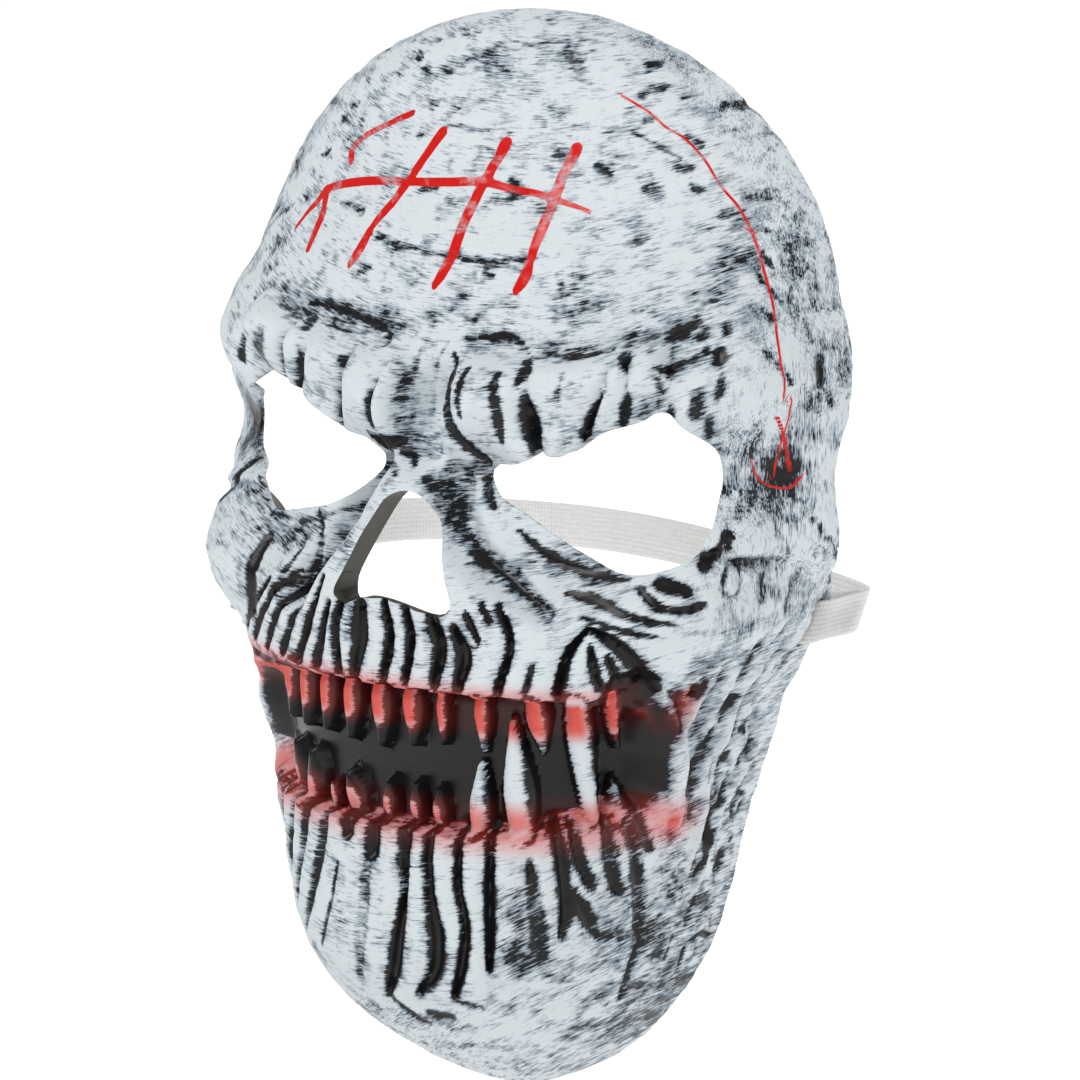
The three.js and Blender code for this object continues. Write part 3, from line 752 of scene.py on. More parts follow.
PATCHES = (
    Patch(66, 57, 6, 9, 0.17),
    Patch(50, 86, 22, 16, 0.07),
    Patch(24, 44, 22, 9, -0.1),
    Patch(36, -104, 12, 9, -0.12),
    Patch(1, 50, 8, 10, -0.26),
    Patch(20, 45, 7, 8, -0.3),
    Patch(0, 100, 36, 16, -0.05),
    Patch(-46, 103, 9, 7, 0.16),
    Patch(-55, 92, 4, 4, 0.22),
    Patch(-48, 76, 14, 6, 0.10),
    Patch(-26, 112, 10, 10, 0.10),
    Patch(0, 125, 10, 6, 0.14),
    Patch(18, 127, 12, 4, 0.22),
    Patch(28, 114, 6, 4, 0.20),
    Patch(5, 105, 10, 4, 0.20),
    Patch(66, 81, 4, 11, 0.46),
    Patch(36, 72, 20, 5, 0.16),
    Patch(61, 66, 7, 5, 0.24),
    Patch(-25, 69, 26, 4, 0.08),
    Patch(-50, 56, 16, 8, 0.14),
    Patch(-66, 22, 10, 12, 0.20),
    Patch(-50, 5, 12, 12, 0.18),
    Patch(-34, 8, 10, 10, 0.12),
    Patch(35, 13, 10, 8, 0.16),
    Patch(55, 1, 18, 7, 0.18),
    Patch(62, -11, 8, 5, 0.16),
    Patch(42, -6, 8, 8, 0.06),
    Patch(33, -85, 5, 6, 0.38),
    Patch(35, -73, 5, 13, 0.3),
    Patch(46, -79, 7, 11, 0.28),
    Patch(5, -104, 14, 4, 0.14),
    Patch(-6, -78, 4, 18, 0.08),
    Patch(30, -112, 10, 8, 0.14),
)

# Patches of the sides, as (distance in front of the rim, z)
SIDE_PATCHES = (
    Patch(39.6, -36, 3.6, 11, 1.3),
    Patch(44, -27, 4, 5, 1.1),
    Patch(28.6, -36, 3, 12, 0.26),
    Patch(28, 28, 5, 5, 0.50),
    Patch(21, 31, 4, 5, 0.40),
    Patch(13, 75, 6, 6, 0.24),
    Patch(8, 60, 7, 26, 0.12),
    Patch(9, -31, 3, 5, 0.24),
    Patch(20, -3, 8, 6, 0.10),
    Patch(36, -10, 6, 5, 0.22),
    Patch(15, -80, 5, 8, 0.26),
    # Darker at the right end of the chin's underside
    Patch(12, -103, 13, 9, 0.40),
    Patch(34, -86, 8, 8, 0.16),
)
UPPER_GUM = Band((-33.0, -28.0), (-20.5, -15.0))
LOWER_GUM = Band((-61.5, -54.0), (-51.0, -45.0))
# Red at the end of the mouth, as (distance in front of the rim, z)
GUM_SPOTS = (Patch(36, -24, 3.4, 4.6, 0.75), Patch(31.5, -52.5, 2.2, 5.2, 0.95))

# Painted scars: four strokes across a long one, and the forked end
SCARS = (
    Crease(((-50, 90.6), (-44, 92.4), (-33, 94.4), (-20, 95.4), (-8, 96.2), (1, 97), (10, 96), (20, 95),
            (33, 92)),
           (0.9, 1.1, 1.1, 1.0, 1.1, 1.1, 0.9, 0.8, 0.5)),
    Crease(((-57, 80.6), (-53.4, 86), (-50, 90)), (0.5, 0.8, 1.0)),
    Crease(((-48.6, 77), (-47.8, 84), (-49, 90)), (1.0, 1.3, 1.2)),
    Crease(((-25, 111), (-30, 109), (-39, 104.6), (-44, 101), (-43, 98)), (0.9, 0.8, 0.8, 1.0, 1.2)),
    Crease(((-14, 107.4), (-17, 102.4), (-21, 96), (-24.6, 89), (-28, 84), (-29.4, 80), (-32.4, 75.6)),
           (1.5, 1.2, 1.3, 1.2, 1.0, 1.4, 0.9)),
    Crease(((5.6, 106), (3, 100), (1, 94), (-0.4, 88), (-1, 82), (-2.8, 77), (-5, 74)),
           (1.8, 1.5, 1.6, 1.6, 1.6, 1.4, 0.9)),
    Crease(((25, 106), (23, 99), (22.4, 94), (21.4, 87), (21, 81), (20.5, 77), (19, 74.6)),
           (1.7, 1.5, 1.4, 1.5, 1.2, 1.7, 1.1)),
)
HAIRLINE = Crease(
    ((33, 118.6), (40, 115.4), (45, 112), (50, 109.4), (55, 105), (60, 99), (65, 94), (69, 88.6)),
    (0.5, 0.5),
)
# Thin scar lines of the temple, as (distance in front of the rim, z)
SIDE_HAIRLINES = (
    Crease(((15.2, 88.6), (15.6, 86), (17, 79), (18, 73.6), (20, 67), (22, 60), (22.5, 55), (23.4, 51.6)),
           (0.5, 0.5)),
    Crease(((21.3, 51), (21.6, 45), (22, 38), (22.6, 33)), (0.5, 0.5)),
    Crease(((28.8, 36.6), (27, 32), (24, 29.8), (20, 29.4), (17.8, 32)), (0.6, 0.7)),
)
CROSSED_HAIRLINE = Crease(((24.7, 47.4), (21, 41), (19.6, 33.6)), (0.54, 0.54))

RIGHT_EYE: tuple[Point, ...] = (
    (15.2, 31.2), (24.5, 33.4), (28.4, 34.6), (31.8, 38), (34.2, 36.8), (37.6, 36.6), (41, 38.4),
    (44, 41.8), (50.5, 44), (57, 46.4), (61.4, 49.6), (66.6, 44.6), (70.4, 38), (70.6, 28), (71.6, 19.4),
    (69.2, 14.4), (64.6, 11.8), (59, 10.2), (52, 10.6), (45, 13.4), (36, 18.5), (27.5, 23.2),
    (19.2, 26.2),
)
LEFT_EYE: tuple[Point, ...] = (
    (-15.2, 31.5), (-17.4, 26.5), (-21, 22.2), (-27, 18.8), (-34, 16.3), (-43, 14.6), (-50, 12.8),
    (-54.6, 14.4), (-58, 17.6), (-63, 20.6), (-69.6, 23.4), (-73.2, 27), (-73.6, 31), (-72.4, 34.6),
    (-69.2, 37.8), (-64.8, 41.2), (-59.6, 44.2), (-55.6, 46.4), (-51.5, 48), (-44.5, 46), (-37.5, 42.8),
    (-31, 39.8), (-25, 36.6), (-18, 35.2),
)
NOSE_HOLE: tuple[Point, ...] = (
    (3, 27), (6.5, 26), (10.4, 21), (13.6, 14.5), (17, 7), (19, 0.5), (16, -1.5), (8, -0.3), (0, 1),
    (-8, 0), (-13, -2), (-15.5, 0), (-13, 6), (-9.5, 13), (-5.5, 20), (-2, 25),
)


def outline_side(outline: Sequence[Point]) -> Callable[[Array], Array]:
    """Makes a test for one opening that is cut from front to back.

    Args:
        outline: knots of the opening seen from the front.

    Returns:
        A function giving the distance from the outline, below 0 inside it.
    """
    line = smooth_line(outline, 6, closed=True)
    after = np.roll(line, -1, axis=0)

    def test(points: Array) -> Array:
        """Distance of points from the outline, below 0 inside."""
        x, z = points[:, 0], points[:, 2]
        away, inside = np.full(len(x), 1e9), np.zeros(len(x), bool)
        for (ax, az), (bx, bz) in zip(line, after):
            run = (bx - ax) ** 2 + (bz - az) ** 2
            t = np.clip(((x - ax) * (bx - ax) + (z - az) * (bz - az)) / run, 0.0, 1.0)
            away = np.minimum(away, np.hypot(x - ax - t * (bx - ax), z - az - t * (bz - az)))
            spans = (az > z) != (bz > z)
            with np.errstate(divide="ignore", invalid="ignore"):
                inside ^= spans & (x < (bx - ax) * (z - az) / (bz - az) + ax)
        return np.where(inside, -away, away)

    return test


def slit_side(hand: int) -> Callable[[Array], Array]:
    """Makes a test for one strap slit in the side wall.

    Args:
        hand: 1 for the right side, -1 for the left.

    Returns:
        A function giving the distance from the slit, below 0 inside it.
    """
    length, width, from_rim, height, reach = 13.0, 3.4, 5.4, -6.0, 70.0

    def test(points: Array) -> Array:
        """Distance of points from the slit, below 0 inside."""
        across = np.abs(points[:, 1] + from_rim) - 0.5 * width
        up = np.abs(points[:, 2] - height) - 0.5 * length
        return np.where(hand * points[:, 0] > reach, np.maximum(across, up), AWAY)

    return test


@dataclass(frozen=True)
class Cover:
    """How the strokes cover the face: dark paint left in them, with a halo beside them that is partly
    painted shade, and the teeth with the painted shade on one side of each.
    """

    ink: Array
    tooth: Array
    tooth_pale: Array
    tooth_painted_shade: Array


@dataclass(frozen=True)
class FaceRelief:
    """Everything that stands out of the smooth form.

    A core and a shoulder are the covers between which a stroke's section comes in. The ink's soft shoulder
    lays a wide bluish halo beside each stroke, partly thin paint and partly painted shade.
    """

    form: FaceForm
    temple_flare: float = 8.5
    flare_arch: float = 0.26
    upper_tooth_rise: float = 4.6
    lower_tooth_rise: float = 4.8
    teeth_fade: Point = (34.0, 50.0)
    far_tooth_loss: float = 0.85
    mouth_floor: float = 0.6
    fold_share: float = 0.55
    left_brow_lift: float = 2.2
    brow_top_share: float = 0.68
    nose_edge_depth: float = 6.8
    edge_thinning: float = 1.4
    edge_reach: float = 6.0
    pit_seed: int = 7
    pit_count: int = 90
    groove_core: Point = (-0.15, 0.9)
    groove_shoulder: Point = (-2.0, 0.3)
    groove_core_share: float = 0.7
    ink_core: Point = (-0.6, 0.5)
    # Soft halo of the ink beside a stroke, partly thin paint and partly painted shade
    ink_halo_and_shade: Point = (-2.2, -0.2)
    ink_core_share: float = 0.85
    lump_height: float = 0.35
    grain_height: float = 0.12
    # Where the painted shade on a tooth's +X side comes in and is full, as shares of its half width
    tooth_painted_shade_range: Point = (0.05, 0.75)

    def scattered_pits(self) -> tuple[list[Crease], list[Crease]]:
        """Small dents of the forehead and of the sides, from one seed.

        Returns:
            Short strokes of the forehead, and those of the sides by distance from the rim.
        """
        rng = np.random.default_rng(self.pit_seed)
        front, sides = [], []
        for _ in range(self.pit_count):
            x, z = rng.uniform(-75, 75), rng.uniform(68, 132)
            half, turn = rng.uniform(0.5, 2.4), rng.normal(0.0, 0.35)
            wide, deep = rng.uniform(0.6, 1.4), rng.uniform(0.2, 0.6)
            run = (half * math.cos(turn), half * math.sin(turn))
            line = ((x - run[0], z - run[1]), (x + run[0], z + run[1]))
            front.append(Crease(line, (wide, 0.8 * wide), -deep, rng.uniform(0.2, 0.55)))
        for _ in range(self.pit_count):
            depth, z = rng.uniform(4, 26), rng.uniform(-105, 100)
            half, wide, deep = rng.uniform(0.8, 3.0), rng.uniform(0.5, 1.1), rng.uniform(0.2, 0.6)
            slant = rng.uniform(-0.1, 0.7) * half
            line = ((depth - slant, z - half), (depth + slant, z + half))
            sides.append(Crease(line, (wide, 0.7 * wide), -deep, rng.uniform(0.2, 0.6)))
        return front, sides

    def broad(self, x: Array, z: Array) -> Array:
        """Large forms, shared by the outer and the inner face of the wall.

        Args:
            x: places across.
            z: heights.

        Returns:
            Rise at each place.
        """
        arch = self.form.arch(x, z)
        rise = self.temple_flare * self.form.temple_share(z) * (1.0 - smooth(arch, 0.0, self.flare_arch))
        sunk = np.zeros_like(x)
        for furrow in BROAD_FURROWS:
            sunk = np.minimum(sunk, furrow.rise * smooth(furrow.cover(x, z)[0], 0.0, 1.0))
        return sum((mass.height(x, z) for mass in (*MASSES, MOUTH, MOUTH_CORNER)), rise + sunk)

    def brow(self, x: Array, z: Array) -> Array:
        """The brow rolls with their lobes.

        Args:
            x: places across.
            z: heights.

        Returns:
            Rise at each place.
        """
        away = np.abs(x)
        z = z - self.left_brow_lift * smooth(-x, 15.0, 40.0)
        crest = np.interp(away, *np.array(BROW_ROLL.line).T)
        roll = BROW_ROLL.cover(away, np.where(z > crest, crest + self.brow_top_share * (z - crest), z))[0]
        rise = BROW_ROLL.rise * np.sin(0.5 * np.pi * np.clip(roll / 0.8, 0.0, 1.0))
        folds = [np.interp(z, *np.array(fold).T[::-1]) for fold in BROW_FOLDS]
        lobe = np.zeros_like(x)
        for left, right in zip(folds, folds[1:]):
            place = np.clip((2.0 * x - left - right) / (right - left), -1.0, 1.0)
            lobe = np.maximum(lobe, np.sqrt(1.0 - place * place))
        return rise * (1.0 - self.fold_share * (1.0 - lobe))

    def teeth(self, x: Array, z: Array) -> tuple[Array, Array, Array, Array]:
        """The two rows of teeth, which stay inside the recess of the mouth.

        Args:
            x: places across.
            z: heights.

        Returns:
            Rise, cover, pale paint and painted shade of the nearest tooth at each place; the painted shade
            darkens the +X side of each tooth.
        """
        room = np.maximum(-MOUTH.height(x, z) - self.mouth_floor, 0.0)
        raised, pale, shade = np.zeros_like(x), np.zeros_like(x), np.zeros_like(x)
        cover = np.full(len(x), UNCOVERED)
        for row, rise in ((UPPER_TEETH, self.upper_tooth_rise), (LOWER_TEETH, self.lower_tooth_rise)):
            for tooth in row:
                here, offset = tooth.crease(rise).cover(x, z, True)
                height = rise * (1.0 - self.far_tooth_loss * smooth(np.array(-tooth.x), *self.teeth_fade))
                raised = np.maximum(raised, np.minimum(height * dome(here), room))
                # Painted shade: upper and lower teeth alike are darkened on their +X side
                hand = math.copysign(1.0, tooth.gum - tooth.tip)
                painted_side_shade = smooth(hand * offset / tooth.wide, *self.tooth_painted_shade_range)
                nearest = here > cover
                pale, shade = np.where(nearest, tooth.pale, pale), np.where(nearest, painted_side_shade, shade)
                cover = np.maximum(cover, here)
        return raised, cover, pale, shade

    def fine(self, x: Array, z: Array) -> tuple[Array, Cover]:
        """Small forms, and how the strokes cover the face.

        Args:
            x: places across.
            z: heights.

        Returns:
            Rise at each place, and the cover of strokes and teeth.
        """
        raised, *tooth = self.teeth(x, z)
        raised = np.maximum(raised, self.brow(x, z))
        beside = self.form.beside(x, z)
        for ridge in SIDE_RIDGES:
            raised = np.maximum(raised, ridge.rise * dome(ridge.cover(beside, z)[0]))
        front_pits, side_pits = self.scattered_pits()
        sunk, ink = np.zeros_like(x), np.zeros_like(x)
        for creases, across, filled in (
            ((*LIP_GROOVES, *MOUTH_EDGES, *front_pits), x, 1.0),
            ((*BROW_GROOVES, *CHEEK_MARKS, *JAW_GROOVES, *FOREHEAD_WRINKLES), x, 0.84),
            (TEMPLE_PITS, x, 0.68),
            (SIDE_WRINKLES, beside, 0.84),
            (side_pits, beside, 1.0),
        ):
            for crease in creases:
                here = crease.cover(across, z)[0]
                deep = blend(here, self.groove_core, self.groove_shoulder, self.groove_core_share)
                sunk = np.minimum(sunk, crease.rise * deep)
                # Dark left in a stroke: the core is base showing in the groove; the soft halo beside it is
                # partly thin paint and partly painted shade
                dark = blend(here, self.ink_core, self.ink_halo_and_shade, self.ink_core_share)
                ink = np.maximum(ink, filled * crease.ink * dark)
        lumps = self.lump_height * fractal(x / 11, z / 7, 0 * x, 3)
        lumps += self.grain_height * fractal(x / 3.2, z / 2.2, 0 * x + 5, 2)
        in_mouth = smooth(MOUTH.within(x, z), 0.02, 0.08)
        return raised + sunk + lumps * (1.0 - in_mouth), Cover(ink, *tooth)

    def turned_edge(self, x: Array, z: Array) -> Array:
        """How far the inner face is set back at the nose walls, which turn in steeply.

        The other trimmed edges are thinner than the wall, so there it is below 0.

        Args:
            x: places across.
            z: heights.

        Returns:
            Extra depth at each place.
        """
        places = np.column_stack([x, x, z])
        nose, *eyes = (outline_side(outline)(places) for outline in (NOSE_HOLE, RIGHT_EYE, LEFT_EYE))
        upper = z - 0.5 * x
        thinned = np.minimum(np.minimum(*eyes), np.where(upper < 4.0, nose, -NOWHERE))
        extra = self.nose_edge_depth * (1.0 - smooth(nose, 0.0, self.edge_reach)) * smooth(upper, 2.0, 9.0)
        return extra - self.edge_thinning * (1.0 - smooth(thinned, 0.0, self.edge_reach))


@dataclass(frozen=True)
class FacePaint:
    """Where the coats of paint lie on the face, and the painted shade on the teeth.

    A level says how bare the dark base coat is: below 0 it is covered, above 0 it shows.
    """

    form: FaceForm
    # How dark the painted shade on a tooth's +X side gets
    tooth_painted_shade_share: float = 0.8
    tooth_paint: float = 1.7
    tooth_red: float = 1.5
    dark_level: float = 0.9
    inkless_level: float = -0.55
    paint_level: float = -0.46
    cavity_gain: float = 0.24
    cavity_depth: float = 0.6
    cavity_limits: Point = (-0.8, 1.4)
    side_darkening: float = 0.16
    jaw_darkening: float = 0.07
    nose_crest_paint: float = 0.45
    lower_gum_share: float = 0.82

    def base_left(self, x: Array, z: Array, cavity: Array, ink: Array) -> Array:
        """How much of the dark base coat the brush left bare outside the mouth.

        Args:
            x: places across.
            z: heights.
            cavity: depth below the neighbouring surface.
            ink: dark paint left in the strokes.

        Returns:
            Below 0 where paint covers the base, above 0 where it shows.
        """
        hollow = np.clip(cavity / self.cavity_depth, *self.cavity_limits)
        level = self.paint_level + self.cavity_gain * hollow
        # Darker towards the rim of the sides and towards the bottom of the jaw: more dark base shows there
        level += self.side_darkening * smooth(self.form.side(x, z), 0.75, 0.95)
        level += self.jaw_darkening * smooth(-z, 50.0, 70.0)
        for patches, across in ((PATCHES, x), (SIDE_PATCHES, self.form.beside(x, z))):
            level += sum(patch.value(across, z) for patch in patches)
        nose = outline_side(NOSE_HOLE)(np.column_stack([x, x, z]))
        level -= self.nose_crest_paint * (1.0 - smooth(nose, 2.0, 5.0)) * smooth(z, 1.0, 5.0)
        return np.maximum(level, self.inkless_level + (self.dark_level - self.inkless_level) * ink)

    def gum_red(self, x: Array, z: Array, in_mouth: Array, lit: Array, ink: Array) -> Array:
        """Red sprayed along the gums and at the end of the mouth.

        Args:
            x: places across.
            z: heights.
            in_mouth: share of the mouth's recess.
            lit: share of a tooth outside its painted shade, where its red and pale paint show.
            ink: dark paint left in the strokes.

        Returns:
            Share of red at each place.
        """
        bands = UPPER_GUM.share(z) + self.lower_gum_share * LOWER_GUM.share(z)
        reach = (1.0 - smooth(np.abs(x - MOUTH.x), 55.0, 60.0)) * smooth(self.form.depth(x, z), 18.0, 30.0)
        strip = 0.75 + 0.2 * smooth(MOUTH.within(x, z), 0.0, 0.03)
        # On the teeth the red follows the lit share, so it fades into their painted shade
        gum = reach * bands * np.where(in_mouth > 0.5, 0.16 + 0.84 * lit, strip * (1.0 - 0.75 * ink))
        for spot in GUM_SPOTS:
            red = spot.value(self.form.beside(x, z), z)
            gum = np.maximum(gum, red * (1.0 - 0.5 * ink) * (1.0 - in_mouth))
        return gum

    def coats(self, x: Array, z: Array, cavity: Array, cover: Cover) -> dict[Coat, Array]:
        """Works out the paint at each place.

        Args:
            x: places across.
            z: heights.
            cavity: depth below the neighbouring surface.
            cover: cover of the strokes and teeth.

        Returns:
            One array for each coat.
        """
        side = self.form.side(x, z)
        flanks = smooth(side, 0.7, 0.9) * smooth(-z, 10.0, 60.0)
        right_jaw = smooth(x, 20.0, 32.0) * smooth(-z, 58.0, 68.0)
        recess = smooth(MOUTH.within(x, z) - 0.11 * smooth(-z, 45.0, 48.0), 0.01, 0.06)
        in_mouth = np.maximum(recess, smooth(MOUTH_CORNER.within(x, z), 0.05, 0.3))
        # Painted shade: the teeth's red and pale paint fade out towards each tooth's +X side, leaving the
        # dark base there
        lit = smooth(cover.tooth, 0.03, 0.35) * (1.0 - self.tooth_painted_shade_share * cover.tooth_painted_shade)
        gum = self.gum_red(x, z, in_mouth, lit, cover.ink)
        brushed = np.maximum(self.tooth_paint * cover.tooth_pale, self.tooth_red * smooth(gum, 0.15, 0.7))
        bare = self.base_left(x, z, cavity, cover.ink) * (1.0 - in_mouth) + self.dark_level * in_mouth
        on_tooth = smooth(cover.tooth, 0.0, 0.25)
        bare = bare * (1.0 - on_tooth) + (self.dark_level - lit * brushed) * on_tooth
        right = np.where(x > 0.0, self.form.beside(x, z), NOWHERE)
        strokes = [stroke.cover(x, z)[0] for stroke in SCARS]
        scar = np.maximum.reduce([*strokes, CROSSED_HAIRLINE.cover(right, z)[0]])
        offset, near = np.full(len(x), AWAY), np.zeros(len(x))
        for line, across in ((HAIRLINE, x), *((line, right) for line in SIDE_HAIRLINES)):
            here, away = line.cover(across, z, True)
            offset = np.where(np.abs(away) < np.abs(offset), away, offset)
            near = np.maximum(near, smooth(here, -3.0, -1.0))
        return {
            Coat.BARE: bare,
            Coat.GUM: np.clip(gum, 0.0, 1.0),
            Coat.SCAR: np.clip(scar, NO_SCAR, 1.0),
            Coat.HAIRLINE: offset,
            Coat.HAIRLINE_NEAR: near,
            Coat.FLANK: smooth(side, 0.80, 0.95) * smooth(z, -20.0, 10.0),
            Coat.CHIN: np.clip(smooth(-z, 92.0, 106.0) + flanks + right_jaw, 0.0, 1.0),
        }


# Finishes


@dataclass(frozen=True)
class BrushMark:
    """One kind of brush mark: length and width in millimetres, strength and fineness."""

    along: float
    over: float
    amount: float
    detail: float


@dataclass(frozen=True)
class DryBrushedPaint:
    """Matt pale acrylic brushed over a dark base coat on moulded plastic.

    The brush only touches high places, so the dark base stays in the grooves with hairy
    edges, thin paint turns bluish, and red is sprayed on the gums. Beside the grooves that
    bluish band is partly painted shade. A range says where a coat starts and where it is
    full; a pair gives its value on pale paint and on the base.
    """

    pale: str = "#d9e1e5"
    thin: str = "#8c99a5"
    base: str = "#121214"
    red: str = "#e0402a"
    scar: str = "#d3150f"
    streak: BrushMark = BrushMark(5.5, 1.3, 1.3, 4.0)
    bristle: BrushMark = BrushMark(3.4, 0.34, 2.0, 3.0)
    blotch: BrushMark = BrushMark(8.0, 8.0, 1.9, 3.0)
    mark_roughness: float = 0.62
    arch_per_m: float = 3.0
    chin_slant_deg: float = -32.0
    thin_range: Point = (-0.5, 0.02)
    bare_range: Point = (-0.02, 0.18)
    # Blotch values where the scars lose red, partly to wear and partly as painted highlight
    wear_and_glint_range: Point = (0.5, 0.66)
    scar_range: Point = (-0.05, 0.12)
    hairline_range_mm: Point = (0.4, 0.12)
    scar_wear_and_glint: float = 0.6
    red_hold: Point = (0.92, 0.42)
    dullness: Point = (0.62, 0.3)
    lacquer_dullness: float = 0.22
    specular: float = 0.3
    thickness_mm: float = 0.12
    base_sink: float = 0.5
    bump: float = 0.5

    def field(
        self,
        tree: bpy.types.NodeTree,
        mark: BrushMark,
        places: tuple[bpy.types.NodeSocket, bpy.types.NodeSocket],
        coats: Mapping[Coat, bpy.types.NodeSocket],
    ) -> bpy.types.NodeSocket:
        """Lays one kind of brush mark across the face, up the flanks and slanted on the chin.

        Args:
            tree: the material's node tree.
            mark: the kind of brush mark.
            places: where the marks lie, bent in arches over the face and plain.
            coats: the values kept at each point.

        Returns:
            The marks, from 0 to 1.
        """
        arched, plain = places
        across, upright = (mark.along, mark.along, mark.over), (mark.over, mark.over, mark.along)
        field = None
        for coat, place, turn, scale in (
            (None, arched, 0.0, across),
            (Coat.FLANK, plain, 0.0, upright),
            (Coat.CHIN, plain, math.radians(self.chin_slant_deg), across),
        ):
            mapped = add_node(tree, "Mapping", {"vector_type": "TEXTURE"}, {
                "Vector": place, "Rotation": (0.0, turn, 0.0), "Scale": [size * MM for size in scale]})
            laid = add_node(tree, "TexNoise", None, {
                "Vector": mapped, "Scale": 1.0, "Detail": mark.detail, "Roughness": self.mark_roughness})
            if coat:
                laid = add_node(tree, "Mix", None, {SHARE: coats[coat], FLOAT_A: field, FLOAT_B: laid})
            field = laid
        return field

    def make(self) -> bpy.types.Material:
        """Builds the node material.

        Returns:
            The material.
        """
        material, tree, shader = new_material("dry_brushed_acrylic_on_moulded_plastic")
        plain = add_node(tree, "TexCoord", output="Object")
        x, y, z = add_node(tree, "SeparateXYZ", None, {0: plain}).node.outputs
        square = add_node(tree, "Math", MULTIPLY, {0: x, 1: x})
        bent = add_node(tree, "Math", MULTIPLY_ADD, {0: square, 1: -self.arch_per_m, 2: z})
        arched = add_node(tree, "CombineXYZ", None, {0: x, 1: y, 2: bent})
        coats = {
            coat: add_node(tree, "Attribute", {"attribute_name": coat.value}, output="Fac") for coat in Coat
        }
        level, fields = coats[Coat.BARE], []
        for mark in (self.streak, self.bristle, self.blotch):
            fields.append(self.field(tree, mark, (arched, plain), coats))
            swing = add_node(tree, "Math", {"operation": "SUBTRACT"}, {0: fields[-1], 1: 0.5})
            level = add_node(tree, "Math", MULTIPLY_ADD, {0: swing, 1: mark.amount, 2: level})
        _, bristle, blotch = fields
        offset = add_node(tree, "Math", {"operation": "ABSOLUTE"}, {0: coats[Coat.HAIRLINE]})
        thin, bare, wear_and_glint, scar, hairline = (
            add_node(tree, "MapRange", SOFT, {
                "Value": value, "From Min": start, "From Max": full})
            for value, (start, full) in (
                (level, self.thin_range),
                (level, self.bare_range),
                (blotch, self.wear_and_glint_range),
                (coats[Coat.SCAR], self.scar_range),
                (offset, self.hairline_range_mm),
            )
        )
        hold, dull = (
            add_node(tree, "MapRange", None, {"Value": bare, "To Min": on_paint, "To Max": on_base})
            for on_paint, on_base in (self.red_hold, self.dullness)
        )
        sprayed = add_node(tree, "Math", MULTIPLY, {0: hold, 1: coats[Coat.GUM]})
        hairline = add_node(tree, "Math", MULTIPLY, {0: hairline, 1: coats[Coat.HAIRLINE_NEAR]})
        lacquer = add_node(tree, "Math", {"operation": "MAXIMUM"}, {0: scar, 1: hairline})
        # Blotches take red off the scars: partly worn lacquer, partly a painted highlight where the pale
        # paint shows through
        kept = add_node(tree, "Math", MULTIPLY_ADD, {0: wear_and_glint, 1: -self.scar_wear_and_glint, 2: 1.0})
        kept = add_node(tree, "Math", MULTIPLY, {0: kept, 1: lacquer})
        colour = linear(self.pale)
        for share, paint in ((thin, self.thin), (bare, self.base), (sprayed, self.red), (kept, self.scar)):
            colour = add_node(tree, "Mix", COLOURS, {
                SHARE: share, COLOUR_A: colour, COLOUR_B: linear(paint)}, COLOUR_OUT)
        dull = add_node(tree, "Mix", None, {SHARE: lacquer, FLOAT_A: dull, FLOAT_B: self.lacquer_dullness})
        thick = add_node(tree, "Math", MULTIPLY_ADD, {0: bare, 1: -self.base_sink, 2: bristle})
        thick = add_node(tree, "Math", {"operation": "ADD"}, {0: thick, 1: lacquer})
        bump = add_node(tree, "Bump", None, {
            "Strength": self.bump, "Distance": self.thickness_mm * MM, "Height": thick})
        set_inputs(shader, {
            "Base Color": colour, "Roughness": dull, "Specular IOR Level": self.specular, "Normal": bump})
        return material


@dataclass(frozen=True)
class MouldedInside:
    """Unpainted dark olive plastic, satin from the mould, with cloudy flow marks."""

    deep: str = "#26261f"
    light: str = "#5a5748"
    flow_mm: float = 14.0
    flow_range: Point = (0.35, 0.75)
    dull_range: Point = (0.3, 0.7)
    dullness: Point = (0.42, 0.58)
    grain_mm: float = 0.9
    grain_depth_mm: float = 0.1
    bump: float = 0.3

    def make(self) -> bpy.types.Material:
        """Builds the node material.

        Returns:
            The material.
        """
        material, tree, shader = new_material("moulded_plastic_inside")
        place = add_node(tree, "TexCoord", output="Object")
        flow = add_node(tree, "TexNoise", None, {
            "Vector": place, "Scale": 1.0 / (self.flow_mm * MM), "Detail": 4.0, "Distortion": 0.8})
        share, dull = (
            add_node(tree, "MapRange", None, {
                "Value": flow, "From Min": start, "From Max": full, "To Min": low, "To Max": high})
            for (start, full), (low, high) in (
                (self.flow_range, (0.0, 1.0)),
                (self.dull_range, self.dullness),
            )
        )
        colour = add_node(tree, "Mix", COLOURS, {
            SHARE: share, COLOUR_A: linear(self.deep), COLOUR_B: linear(self.light)}, COLOUR_OUT)
        grain = add_node(tree, "TexNoise", None, {
            "Vector": place, "Scale": 1.0 / (self.grain_mm * MM), "Detail": 2.0})
        bump = add_node(tree, "Bump", None, {
            "Strength": self.bump, "Distance": self.grain_depth_mm * MM, "Height": grain})
        set_inputs(shader, {"Base Color": colour, "Roughness": dull, "Normal": bump})
        return material


